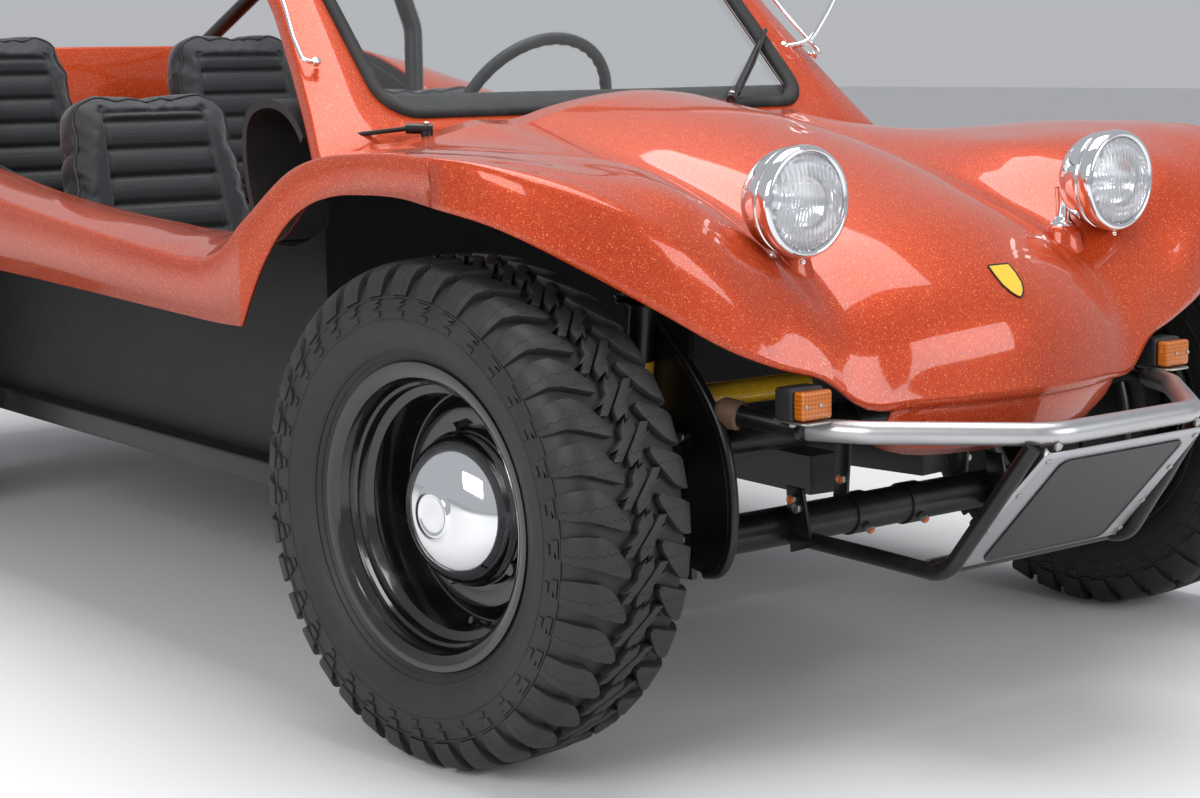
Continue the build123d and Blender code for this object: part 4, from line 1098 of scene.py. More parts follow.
# %% Small parts round the screen
def bolt(shape, spot, axis, radius, height, sides=6):
    """A bolt head standing on a spot."""
    made = bmesh.ops.create_cone(
        shape, cap_ends=True, segments=sides, radius1=radius, radius2=radius, depth=height,
    )
    head = made["verts"]
    turn = Vector(axis).normalized().to_track_quat("Z", "Y").to_matrix().to_4x4()
    seat = Matrix.Translation(spot) @ turn @ Matrix.Translation((0, 0, height / 2))
    bmesh.ops.transform(shape, matrix=seat, verts=head)
    bevelled(shape, list({rim for corner in head for rim in corner.link_edges}), min(radius, height) * 0.18)


def slab(shape, corners, push, edge=0.0):
    """A flat plate: its outline, and the vector of its thickness."""
    face = bmesh.ops.contextual_create(shape, geom=[shape.verts.new(corner) for corner in corners])["faces"]
    raised = bmesh.ops.extrude_face_region(shape, geom=face)["geom"]
    bmesh.ops.translate(shape, verts=corners_of(raised), vec=push)
    new = set(face) | set(faces_of(raised))
    new |= {near for item in list(new) for rim in item.edges for near in rim.link_faces}
    bmesh.ops.recalc_face_normals(shape, faces=list(new))
    if edge:
        rims = {rim for item in new for rim in item.edges if rim.calc_face_angle(0) > radians(40)}
        bevelled(shape, list(rims), edge)


wiper_shape = bmesh.new()
near_spindle = at(-470, -452, 864)
for spindle, tip in ((near_spindle, at(-560, -580, 866)), (at(-470, 205, 900), screen(432, 196, 16))):
    rod(wiper_shape, [spindle - Vector((0, 0, 0.030)), spindle + Vector((0, 0, 0.012))], 0.010, 16)
    lean = (tip - spindle).normalized()
    hub = [spindle + Vector((0, 0, 0.014)) - lean * 0.010, spindle + Vector((0, 0, 0.015)) + lean * 0.034]
    rod(wiper_shape, hub, 0.0085, 12)
    rod(wiper_shape, [spindle + Vector((0, 0, 0.015)) + lean * 0.03, tip], 0.0040, 8)
rod(wiper_shape, [screen(300, 66, 10), screen(384, 142, 12), screen(474, 232, 10)], 0.0046, 8)
rod(wiper_shape, [screen(300, 66, 4), screen(384, 142, 5), screen(474, 232, 4)], 0.0034, 6)
rod(wiper_shape, [at(-548, -572, 858), at(-572, -600, 866)], 0.0075, 8)
piece(wiper_shape, "wiper_arms", SATIN_BLACK, "chassis", ("wipers",), 40)

bright_shape = bmesh.new()
for side in (-1, 1):
    path = [screen(side * 532, 640, -2), screen(side * 545, 480, 4), screen(side * 556, 320, 6), screen(side * 578, 192, 6),
            screen(side * 579, 172, 8), screen(side * 566, 164, 10), screen(side * 556, 164, 10)]
    rod(bright_shape, through(path, 4), 0.0038, 10)
    bolt(bright_shape, screen(side * 560, 164, 5), FACE, 0.0080, 0.010)
    bolt(bright_shape, screen(side * 553, 171, 3), FACE, 0.0055, 0.006, 12)
for spindle in (near_spindle, at(-470, 205, 900)):
    bolt(bright_shape, spindle + Vector((0, 0, 0.022)), (0, 0, 1), 0.0052, 0.004, 12)
piece(bright_shape, "pillar_bars", CHROME, "chassis", (), 40)

mirror_shape = bmesh.new()
stalk = [at(-668, 520, 1004), at(-652, 556, 1012), at(-642, 596, 1060), at(-640, 640, 1130)]
rod(mirror_shape, through(stalk, 5), 0.0055, 14)
bolt(mirror_shape, at(-676, 505, 1000), (0.4, 0.8, 0.2), 0.013, 0.016, 20)
head = [(-0.026, 0.0005), (-0.025, 0.018), (-0.021, 0.034), (-0.013, 0.047), (-0.004, 0.054), (0.002, 0.056), (0.004, 0.0545),
        (0.003, 0.052), (0.001, 0.050), (0.0005, 0.0005)]
turned(head, at(-646, 640, 1165), (-1, 0, 0), (0, 0, 1), 48, mirror_shape)
piece(mirror_shape, "door_mirror", CHROME, "chassis", ("mirror",), 40)

# %% [markdown]
# ## Headlamps
# Each lamp is a chromed bullet on a post: a spun bowl, a rolled bezel and a fluted lens over a bright reflector.
# Everything round the lamp's own axis is one spun outline; the pads under the posts belong to the painted body.

# %% Lamps and their pads
BOWL = ((-3, 66.5), (0.5, 68), (3, 70.5), (3.6, 73), (2, 76.5), (-4, 79), (-12, 79.6), (-19, 79), (-23, 77), (-24.5, 75.2),
        (-26, 75), (-27, 76.8), (-30, 77.2), (-33, 76.6), (-46, 74.5), (-60, 69), (-74, 59.5), (-86, 47), (-95, 33),
        (-101.5, 19), (-104.5, 8), (-105.5, 0.3))
LENS = ((-3, 66.8), (0.5, 66.4), (4, 62), (8, 50), (11, 34), (12.6, 16), (13, 0.3))
REFLECTOR = ((-3, 66), (-14, 63), (-28, 57), (-42, 47), (-54, 33), (-61, 16), (-62, 9), (-34, 8.5), (-31, 6), (-30, 0.3))
PAD = ((716, 21), (713, 26), (706, 29), (697, 31), (686, 34), (672, 39), (660, 46))
STEM = ((713, 21), (718, 20.5), (723, 17), (727, 13), (734, 11.5), (750, 11.5), (762, 13), (776, 14))
shells, lenses, reflectors, pads = bmesh.new(), bmesh.new(), bmesh.new(), bmesh.new()
for side in (-1, 1):
    centre = at(308, side * 334, 788)
    for outline, shape in ((BOWL, shells), (LENS, lenses), (REFLECTOR, reflectors)):
        turned(metres(outline), centre, (1, 0, 0), (0, 0, 1), 72, shape)
    foot = at(227, side * 294, 0)
    turned(metres(PAD), foot, (0, 0, 1), (1, 0, 0), 48, pads)
    turned(metres(STEM), foot, (0, 0, 1), (1, 0, 0), 32, shells)
    neck = [foot + Vector((0, 0, 0.752)), foot + Vector((0.010, side * 0.010, 0.775)), centre - Vector((0.055, 0, 0.02))]
    rod(shells, neck, 0.0115, 16)
    bolt(shells, centre + Vector((-0.010, 0, -0.081)), (0, 0, -1), 0.004, 0.006, 10)
piece(shells, "lamp_bowls", CHROME, "chassis", ("lamp_shells",), 50)
piece(lenses, "lamp_fluted_lenses", FLUTED, "chassis", ("lamp_lenses",), 60)
piece(reflectors, "lamp_reflectors", CHROME, "chassis", (), 50)
piece(pads, "lamp_pads", FLAKE_PAINT, "chassis", (), 60)

# %% [markdown]
# ## Indicators
# Amber lenses with two screws stand on steel brackets at the ends of the bumper. The lens is a copy of the CAD block, merged and softly bevelled.

# %% Indicators
dressed("indicator_lenses", AMBER, 0.0045, 4)
dressed("indicator_housings", GRAINED_PLASTIC, 0.003, 3)
signal_steel = bmesh.new()
for side in (-1, 1):
    for across in (-0.0135, 0.0135):
        bolt(signal_steel, at(386.5, side * 397, 517) + Vector((0, across, 0)), (1, 0, 0), 0.0028, 0.0022, 12)
    corners = [at(x, side * y, 494) for x, y in ((318, 362), (392, 362), (392, 416), (318, 416))]
    outline = rounded(corners, 0.012, 4, True)
    slab(signal_steel, outline, (0, 0, -0.003), 0.0008)
    bolt(signal_steel, at(352, side * 404, 491), (0, 0, -1), 0.006, 0.006)
piece(signal_steel, "indicator_brackets", BOLT_STEEL, "chassis", (), 35)

# %% [markdown]
# ## Bumper, lower tubes and plate panel
# The bumper is one bent steel tube with brushed scratches. Two black tubes run forward below it and bend up behind the plate panel.
# The panel is sheet steel with rolled lower edge and folded sides; its plate stays blank.

# %% Bumper and tubes
bumper_shape = bmesh.new()
BUMPER = ((344, -371), (420, -330), (600, -150), (600, 150), (420, 330), (344, 371))
rod(bumper_shape, rounded([at(x, y, 477) for x, y in BUMPER], 0.075, 10), 0.0162, 32)
soften(bumper_shape, 0.004, 60, 3)
piece(bumper_shape, "bumper_tube", BAR_STEEL, "chassis", ("front_bumper",), 50)

tubes = bmesh.new()
for side in (-1, 1):
    run = [at(146, side * 214, 270), at(300, side * 200, 264), at(446, side * 196, 260), at(588, side * 178, 462)]
    rod(tubes, rounded(run, 0.055, 8), 0.0125, 20)
    tab = [at(x, side * 222, z) for x, z in ((140, 348), (176, 348), (196, 262), (150, 246))]
    slab(tubes, tab, (0, -side * 0.006, 0), 0.001)
rod(tubes, [at(412, -188, 262), at(412, 188, 262)], 0.0125, 20)
piece(tubes, "lower_tubes", SATIN_BLACK, "chassis", ("lower_hoop",), 40)

CAP = (
    (-0.026, 0.0165), (-0.024, 0.0215), (0.0, 0.0225), (0.004, 0.0215), (0.018, 0.012), (0.021, 0.0095),
    (0.0215, 0.0005),
)
mounts = bmesh.new()
rusty = bmesh.new()
for side in (-1, 1):
    rod(mounts, [at(336, side * 376, 477), at(232, side * 410, 489)], 0.0150, 20)
    rod(mounts, [at(300, side * 386, 480), at(154, side * 400, 440)], 0.0140, 16)
    end = at(224, side * 412, 490)
    axis = (end - at(336, side * 376, 477)).normalized()
    turned(CAP, end, axis, (0, 0, 1), 28, rusty)
    bolt(rusty, end + axis * 0.021, axis, 0.0075, 0.007)
piece(mounts, "bumper_mounts", SATIN_BLACK, "chassis", ("bumper_brackets",), 40)
RUSTY = rough_cast("rusty_steel_cap", (0.22, 0.13, 0.085), 0.35, 0.55)
piece(rusty, "mount_caps", RUSTY, "chassis", (), 35)

# %% Plate panel, blank plate and screws
def panel(across, up, out=0.0):
    """A place on the panel's outer face, in millimetres; up runs along its slope."""
    slope = Vector((178, 0, 200)).normalized()
    outward = Vector((200, 0, -178)).normalized()
    return at(428, across, 256) + slope * up / 1000 + outward * (out + 4) / 1000


panel_shape = bmesh.new()
sections = []
for step in range(17):
    up = 267 - step * 15.0
    half = 168 + (267 - up) * 16 / 267
    sections.append([panel(-half + 1, up, -12), panel(-half, up, -4), panel(-half + 4, up, 0)]
                    + [panel(-half + 4 + (2 * half - 8) * i / 12, up, 0) for i in range(1, 12)]
                    + [panel(half - 4, up, 0), panel(half, up, -4), panel(half - 1, up, -12)])
for turn in (0.35, 0.7, 1.05, 1.4, 1.7):
    half = 184 + 3 * turn
    sections.append([panel(across * half / 180, 24 - 34 * sin(turn), -34 * (1 - cos(turn)))
                     for across in [-179, -180, -176] + [-176 + 352 * i / 12 for i in range(1, 12)] + [176, 180, 179]])
swept_skin(panel_shape, sections)
point_out(panel_shape, panel(0, 130), (0.74, 0, -0.66))
steel_panel = piece(panel_shape, "panel_sheet", PANEL_STEEL, "chassis", ("plate_panel",), 40)
walled(steel_panel, 0.002)

plate_shape = bmesh.new()
corners = [(-126, 22), (138, 22), (138, 246), (-126, 246)]
edge = rounded([(across, up, 0) for across, up in corners], 16, 6, True)
corners = [plate_shape.verts.new(panel(spot.x, spot.y, 0.4)) for spot in edge]
bmesh.ops.contextual_create(plate_shape, geom=corners)
bmesh.ops.recalc_face_normals(plate_shape, faces=plate_shape.faces)
plate_shape.faces.ensure_lookup_table()
if plate_shape.faces[0].normal.x < 0:
    bmesh.ops.reverse_faces(plate_shape, faces=plate_shape.faces)
raised = bmesh.ops.extrude_face_region(plate_shape, geom=plate_shape.faces[:])["geom"]
outward = Vector((200, 0, -178)).normalized()
bmesh.ops.translate(plate_shape, verts=corners_of(raised), vec=outward * 0.0022)
lid = faces_of(raised)
bmesh.ops.inset_region(plate_shape, faces=lid, thickness=0.004, depth=0.0, use_even_offset=True)
bmesh.ops.inset_region(plate_shape, faces=lid, thickness=0.0012, depth=-0.0009, use_even_offset=True)
bmesh.ops.recalc_face_normals(plate_shape, faces=plate_shape.faces)
piece(plate_shape, "blank_plate", SATIN_BLACK, "chassis", (), 30)

screws = bmesh.new()
for across, up in ((-158, 250), (158, 250), (-163, 178), (163, 178), (-168, 100), (168, 100), (-172, 34), (172, 34)):
    bolt(screws, panel(across, up, -0.2), outward, 0.0048, 0.0026, 14)
for side in (-1, 1):
    bolt(screws, at(604, side * 150, 462), (1, 0, -0.5), 0.007, 0.006)
piece(screws, "panel_screws", BOLT_STEEL, "chassis", (), 30)

# %% [markdown]
# ## Badge
# A small enamel shield sits on the nose, yellow with a black border; it stays blank.
# Its outline is laid on the skin: each corner is dropped along the shield's own axis onto the moulding.

# %% Badge on the nose
from mathutils.bvhtree import BVHTree

skin_tree = BVHTree.FromObject(moulding, bpy.context.evaluated_depsgraph_get())


def laid_on(shape, along, lift):
    """Drops every corner on the painted skin and lifts it by its own height along that direction."""
    along = Vector(along).normalized()
    for corner in shape.verts:
        height = corner.co.dot(along) - lift
        start = corner.co + along * 0.2
        hit, normal, index, distance = skin_tree.ray_cast(start, -along)
        if hit is not None:
            corner.co = hit + along * height


badge_axis = Vector((107, 0, 112)).normalized()
badge_up = Vector((-112, 0, 107)).normalized()
badge_shape = bmesh.new()
SHIELD = (
    (-23, 32), (23, 32), (24, 10), (22, -8), (15, -22), (6, -31), (0, -34), (-6, -31), (-15, -22), (-22, -8), (-24, 10),
)
centre = at(376, -2, 655)
corners = [centre + Vector((0, across / 1000, 0)) + badge_up * up / 1000 for across, up in SHIELD]
line = rounded(corners, 0.004, 3, True)
face = bmesh.ops.contextual_create(badge_shape, geom=[badge_shape.verts.new(spot) for spot in line])["faces"]
raised = bmesh.ops.extrude_face_region(badge_shape, geom=face)["geom"]
bmesh.ops.translate(badge_shape, verts=corners_of(raised), vec=badge_axis * 0.0025)
lid = faces_of(raised)
bmesh.ops.inset_region(badge_shape, faces=lid, thickness=0.0022, depth=0.0, use_even_offset=True)
bmesh.ops.inset_region(badge_shape, faces=lid, thickness=0.0005, depth=-0.0006, use_even_offset=True)
for item in lid:
    item.material_index = 1
bmesh.ops.recalc_face_normals(badge_shape, faces=badge_shape.faces)
laid_on(badge_shape, badge_axis, centre.dot(badge_axis) + 0.0004)


def enamel(name, tone, dark):
    """A glossy stoved colour with a slow drift towards a darker one."""
    coat = Finish(name)
    spot = coat.place()
    cloud = coat.noise(spot, 60.0, 4.0, 0.6)
    return coat.surface(
        Base_Color=coat.mix(cloud.between(0.3, 0.8) * 0.5, tone, dark), Roughness=0.16 + cloud * 0.12, Coat_Weight=0.8,
        Coat_Roughness=0.04, Normal=coat.bump(cloud, 0.0001, 0.3),
    )


BADGE_YELLOW = enamel("badge_yellow_enamel", (0.86, 0.55, 0.03), (0.70, 0.42, 0.02))
piece(badge_shape, "blank_badge", [SATIN_BLACK, BADGE_YELLOW], "chassis", (), 30)
print("badge and panel ready")

# %% [markdown]
# ## Seats
# Each seat has a cushion and a back: black weave, a centre panel sewn in pleats, and plain side bolsters with piping.
# A slab is cut to the outline, remeshed evenly and blown up a little as cloth, so its sides swell like a real pad.
# Pleats and seams come afterwards, as grooves pressed into the swollen face.

# %% Weave for the seats
def seat_weave():
    """Woven cover: pierced in the pleated panel, with painted shade in the holes, finely ribbed round it."""
    weave = Finish("perforated_seat_weave")
    spot = weave.place()
    x, y, z = weave.axes(spot)
    run = (x + z) * 0.7071
    columns = (y / 0.0042).of("PINGPONG", 0.5) * 2
    rows = (run / 0.0042).of("PINGPONG", 0.5) * 2
    holes = (columns * rows).between(0.42, 0.62)
    panel_mask = weave.node("Attribute", {"attribute_name": "panel"}, None, "Fac")
    ribs = (y / 0.0030).of("PINGPONG", 0.5) * 2
    cloud = weave.noise(spot, 24.0, 5.0, 0.6)
    dust = weave.noise(spot, 7.0, 5.0, 0.7).between(0.5, 0.85)
    base = weave.mix(cloud, (0.010, 0.012, 0.015), (0.020, 0.022, 0.026))
    # Painted shade: the holes in the pleated panel are darkened nearly to black, for the shade inside them.
    tone = weave.mix(holes * panel_mask * 0.85, base, (0.003, 0.003, 0.004))
    tone = weave.mix(dust * 0.12, tone, (0.07, 0.068, 0.064))
    relief = ribs * (1 - panel_mask) * 0.6 + (1 - holes) * panel_mask
    grain = weave.bump(weave.noise(spot, 900.0, 2.0), 0.0002, 0.4)
    return weave.surface(
        Base_Color=tone, Roughness=0.50 + cloud * 0.14, Normal=weave.bump(relief, 0.0007, 0.7, grain), Sheen_Weight=0.35,
        Sheen_Roughness=0.4,
    )


SEAT_WEAVE = seat_weave()
PIPING = black_coat("seat_piping_vinyl", 600.0, 0.0002, 0.36, 0.12, (0.012, 0.013, 0.015))

# %% A pad: slab, remesh, cloth, then pleats
VOXEL = 0.009
CLOTH_FRAMES = 14


def settled(made, cap):
    """Remeshes a slab evenly and swells it with cloth pressure; a corner may move as far as the cap."""
    grid = made.modifiers.new("even", "REMESH")
    grid.mode = "VOXEL"
    grid.voxel_size = VOXEL
    even = bpy.data.meshes.new_from_object(made.evaluated_get(bpy.context.evaluated_depsgraph_get()))
    made.modifiers.clear()
    made.data = even
    start = [corner.co.copy() for corner in even.vertices]
    cloth = made.modifiers.new("cloth", "CLOTH")
    cloth.settings.quality = 3
    cloth.settings.mass = 0.35
    cloth.settings.use_pressure = True
    cloth.settings.uniform_pressure_force = 4.0
    cloth.settings.effector_weights.gravity = 0.0
    cloth.point_cache.frame_start = 1
    cloth.point_cache.frame_end = CLOTH_FRAMES
    for frame_number in range(1, CLOTH_FRAMES + 1):
        scene.frame_set(frame_number)
    swollen = bpy.data.meshes.new_from_object(made.evaluated_get(bpy.context.evaluated_depsgraph_get()))
    made.modifiers.clear()
    scene.frame_set(1)
    for corner, first in zip(swollen.vertices, start):
        move = corner.co - first
        if move.length > cap:
            corner.co = first + move.normalized() * cap
    made.data = swollen


def pad(name, origin, across, up, out, outline, thickness, pleats, panel_half, body="chassis", shrink=0.010):
    """A swollen pad with a pleated middle panel; outline points are (across, up) in metres."""
    origin, across, up, out = Vector(origin), Vector(across), Vector(up).normalized(), Vector(out).normalized()
    middle = Vector((0, sum(p[1] for p in outline) / len(outline), 0))
    flat = rounded([(p[0], p[1], 0) for p in outline], 0.055, 5, True)
    flat = [spot + (middle - spot).normalized() * shrink for spot in flat]
    slab_shape = bmesh.new()
    corners = [slab_shape.verts.new(origin + across * p.x + up * p.y - out * shrink) for p in flat]
    face = bmesh.ops.contextual_create(slab_shape, geom=corners)["faces"]
    raised = bmesh.ops.extrude_face_region(slab_shape, geom=face)["geom"]
    bmesh.ops.translate(slab_shape, verts=corners_of(raised), vec=-out * (thickness - 2 * shrink))
    bmesh.ops.recalc_face_normals(slab_shape, faces=slab_shape.faces)
    soften(slab_shape, thickness * 0.24, 50, 3)
    mesh = bpy.data.meshes.new(name)
    slab_shape.to_mesh(mesh)
    slab_shape.free()
    made = bpy.data.objects.new(name, mesh)
    scene.collection.objects.link(made)
    settled(made, 0.020)
    fine = made.modifiers.new("fine", "SUBSURF")
    fine.levels = fine.render_levels = 1
    smooth = bpy.data.meshes.new_from_object(made.evaluated_get(bpy.context.evaluated_depsgraph_get()))
    made.modifiers.clear()
    made.data = smooth
    top = max((corner.co - origin).dot(up) for corner in smooth.vertices)
    panel = smooth.attributes.new("panel", "FLOAT", "POINT")
    normals = [corner.normal.copy() for corner in smooth.vertices]
    for index, (corner, normal) in enumerate(zip(smooth.vertices, normals)):
        local = corner.co - origin
        x, y = local.dot(across), local.dot(up)
        front = min(max((normal.dot(out) - 0.35) / 0.4, 0.0), 1.0)
        half = panel_half[0] + (panel_half[1] - panel_half[0]) * min(max(y / top, 0), 1)
        inside = min(max((half - abs(x)) / 0.010 + 0.5, 0.0), 1.0)
        phase = (y - pleats[0]) / pleats[1]
        stripe = abs((phase + 0.5) % 1.0 - 0.5) * pleats[1]
        in_range = pleats[0] - 0.004 <= y <= pleats[2]
        groove = 0.0085 * math.exp(-((stripe / 0.0050) ** 2)) * inside if in_range else 0.0
        crown = -0.0035 * (0.5 - 0.5 * cos(2 * pi * phase)) * inside if in_range else 0.0
        seam = 0.0070 * math.exp(-(((abs(x) - half) / 0.0055) ** 2)) if y < pleats[2] + 0.012 else 0.0
        cross = 0.0060 * math.exp(-(((y - pleats[2]) / 0.0055) ** 2)) * (1 if abs(x) < half + 0.01 else 0)
        sink = 0.007 * inside if in_range else 0.0
        corner.co -= out * front * (groove + crown + max(seam, cross) + sink)
        panel.data[index].value = inside * front if in_range else 0.0
    smooth.materials.clear()
    smooth.materials.append(SEAT_WEAVE)
    smooth.shade_smooth()
    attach(made, body)
    return made, flat, (origin, across, up, out)


def piped(made, line, frame_of, depth, name):
    """Piping round the pad, laid on its own swollen side."""
    origin, across, up, out = frame_of
    tree = BVHTree.FromObject(made, bpy.context.evaluated_depsgraph_get())
    middle = sum(line, Vector()) / len(line)
    ring = []
    for spot in evenly([Vector(p) for p in line] + [Vector(line[0])], 121)[:-1]:
        far = middle + (spot - middle) * 1.6
        start = origin + across * far.x + up * far.y - out * depth
        aim = (origin + across * middle.x + up * middle.y - out * depth) - start
        hit, normal, index, distance = tree.ray_cast(start, aim.normalized())
        if hit is not None:
            ring.append(hit)
    shape = bmesh.new()
    rod(shape, ring + ring[:2], 0.0042, 8, False)
    return piece(shape, name, PIPING, "chassis", (), 60)


FRONT_BACK = ((-0.215, 0.0), (0.215, 0.0), (0.226, 0.20), (0.216, 0.33), (0.186, 0.462), (0.13, 0.487), (-0.13, 0.487),
              (-0.186, 0.462), (-0.216, 0.33), (-0.226, 0.20))
FRONT_CUSHION = ((-0.222, 0.0), (0.222, 0.0), (0.226, 0.20), (0.222, 0.395), (-0.222, 0.395), (-0.226, 0.20))
REAR_BACK = ((-0.195, 0.0), (0.195, 0.0), (0.203, 0.25), (0.196, 0.36), (0.168, 0.445), (0.115, 0.468), (-0.115, 0.468),
             (-0.168, 0.445), (-0.196, 0.36), (-0.203, 0.25))
REAR_CUSHION = ((-0.198, 0.0), (0.198, 0.0), (0.202, 0.20), (0.198, 0.415), (-0.198, 0.415), (-0.202, 0.20))
# Row, distance from the middle, then nose, fold and top as x and z, the two outlines and the cushion's thickness
SEATS = (
    ("front", 340, (-1205, 487), (-1560, 477), (-1690, 950), FRONT_BACK, FRONT_CUSHION, 0.125),
    ("rear", 320, (-2040, 633), (-2410, 623), (-2520, 1060), REAR_BACK, REAR_CUSHION, 0.115),
)
BACK_THICKNESS = 0.105
for row, y, (nose_x, nose_z), (fold_x, fold_z), (top_x, top_z), back, cushion, thick_seat in SEATS:
    lean = at(top_x, 0, top_z) - at(fold_x, 0, fold_z)
    level = at(nose_x, 0, nose_z) - at(fold_x, 0, fold_z)
    made = {}
    for kind in ("back", "cushion"):
        if kind == "back":
            out = Vector((lean.z, 0, -lean.x))
            made[kind] = pad(
                "seat_" + row + "_right_back", at(fold_x, -y, fold_z), (0, 1, 0), lean, out, back, BACK_THICKNESS,
                (0.060, 0.058, lean.length - 0.062), (0.132, 0.112),
            )
        else:
            out = Vector((-level.z, 0, level.x))
            made[kind] = pad(
                "seat_" + row + "_right_cushion", at(fold_x - 30, -y, fold_z), (0, 1, 0), level, out, cushion, thick_seat,
                (0.070, 0.060, 0.330), (0.128, 0.128),
            )
    for kind, (shape, line, frame_of) in made.items():
        piping = piped(shape, line, frame_of, 0.022 if kind == "back" else 0.026, shape.name + "_piping")
        for source in (shape, piping):
            twin = source.copy()
            twin.data = source.data.copy()
            twin.name = source.name.replace("right", "left")
            twin.data.transform(Matrix.Translation((0, 2 * y / 1000, 0)))
            scene.collection.objects.link(twin)
            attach(twin, "chassis")
            if source is shape:
                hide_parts("seat_" + row + "_left")
                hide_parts("seat_" + row + "_right")
print("seats ready")

# %% [markdown]
# ## Cockpit
# The steering wheel is a black ring with finger grips on its underside, three flat spokes and a plain boss.
# It is one ring, extruded round its circle in small steps, whose inner side swells and sinks as a wave.

# %% Steering wheel
COLUMN = radians(30)
wheel_axis = Vector((-cos(COLUMN), 0, sin(COLUMN)))
wheel_up = Vector((sin(COLUMN), 0, cos(COLUMN)))
wheel_side = Vector((0, 1, 0))
wheel_centre = at(-1289, 350, 862)


def on_wheel(angle, radius, out=0.0):
    """A place on the steering wheel, by its angle and its distance from the middle."""
    return wheel_centre + (wheel_side * sin(angle) + wheel_up * cos(angle)) * radius + wheel_axis * out


grip = bmesh.new()
sections = []
for step in range(145):
    angle = 2 * pi * step / 144
    wave = 0.5 + 0.5 * cos(angle * 36)
    ring = []
    for side in range(13):
        phase = 2 * pi * side / 12
        inner = max(0.0, -cos(phase))
        thick = 0.0135 - 0.0032 * wave * inner
        ring.append(on_wheel(angle, 0.188 + thick * cos(phase), 0.0135 * sin(phase)))
    sections.append(ring)
swept_skin(grip, sections)
bmesh.ops.remove_doubles(grip, verts=grip.verts, dist=1e-5)
bmesh.ops.recalc_face_normals(grip, faces=grip.faces)
for turn in (pi / 2, -pi / 2, pi):
    side = Vector(on_wheel(turn + pi / 2, 1)) - wheel_centre
    along = on_wheel(turn, 1) - wheel_centre
    near, far = wheel_centre + along * 0.030 - wheel_axis * 0.014, wheel_centre + along * 0.180
    spoke = [near - side * 0.019, near + side * 0.019, far + side * 0.012, far - side * 0.012]
    slab(grip, spoke, wheel_axis * 0.004, 0.001)
boss = (
    (-0.030, 0.0005), (-0.030, 0.024), (-0.012, 0.026), (-0.006, 0.044), (0.004, 0.047), (0.012, 0.044),
    (0.018, 0.034), (0.020, 0.020), (0.0205, 0.0005),
)
turned(boss, wheel_centre, wheel_axis, wheel_side, 40, grip)
piece(grip, "steering_wheel_rim", GRAINED_PLASTIC, "steering_wheel", ("steering_wheel",), 40)

# %% [markdown]
# ## Dash, levers and small cockpit parts
# The dash is a rolled black panel. Three round gauges with plain scales sit in front of the driver, with a row of toggles beside them.

# %% Dash and gauges
dressed("dashboard", GRAINED_PLASTIC, 0.0, 2, smooth=45)
dressed("levers", SATIN_BLACK, 0.0, 2, smooth=50)
dressed("pedals", SATIN_BLACK, 0.0015, 2)
dressed("steering_column", SATIN_BLACK, 0.0, 2, smooth=50)
bezels, dials, marks = bmesh.new(), bmesh.new(), bmesh.new()
dash_face = (at(-836, 0, 840) - at(-815, 0, 740)).normalized()
dash_out = Vector((-dash_face.z, 0, dash_face.x))
for y, size in ((350, 0.046), (235, 0.028), (465, 0.028)):
    centre = at(-826, y, 792) + dash_out * 0.002
    ring = [(-0.004, size - 0.004), (-0.001, size - 0.004), (0.004, size - 0.002), (0.006, size + 0.001), (0.005, size + 0.004),
            (0.001, size + 0.005), (-0.004, size + 0.005)]
    turned(ring, centre, dash_out, (0, 1, 0), 40, bezels)
    turned([(0.0, size - 0.003), (0.0012, size - 0.004), (0.0012, 0.0004)], centre, dash_out, (0, 1, 0), 40, dials)
    for tick in range(19):
        angle = radians(-135 + 15 * tick)
        spoke = Vector((0, 1, 0)) * sin(angle) + dash_face * cos(angle)
        cross = spoke.cross(dash_out).normalized() * 0.0005
        inner, outer_r = size - (0.012 if tick % 3 == 0 else 0.009), size - 0.005
        base = centre + dash_out * 0.0014
        slab(marks, [base + spoke * inner - cross, base + spoke * inner + cross, base + spoke * outer_r + cross,
                     base + spoke * outer_r - cross], dash_out * 0.0003)
    needle = Vector((0, 1, 0)) * sin(-1.9) + dash_face * cos(-1.9)
    cross = needle.cross(dash_out).normalized() * 0.0009
    base = centre + dash_out * 0.0022
    slab(marks, [base - cross, base + cross, base + needle * (size - 0.010)], dash_out * 0.0004)
for y in range(-60, 160, 44):
    bolt(bezels, at(-824, y, 780), dash_out, 0.0075, 0.004, 12)
    rod(bezels, [at(-826, y, 780), at(-846, y, 786)], 0.0024, 8)
piece(bezels, "dash_bezels", CHROME, "chassis", (), 40)
piece(dials, "dash_dials", GRAINED_PLASTIC, "chassis", (), 40)
SCALE_WHITE = enamel("dial_scale_white", (0.80, 0.80, 0.76), (0.66, 0.66, 0.62))
piece(marks, "dash_scale_marks", SCALE_WHITE, "chassis", (), 30)

# %% [markdown]
# ## Front axle
# Behind the right wheel the picture shows a black tower with a rolled front edge, which curves from the damper's top bolt down past both beam tubes.
# It is a flat plate cut to that outline, with a welded rod round its edge. Bolts carry dabs of orange paint, as a mechanic marks them.

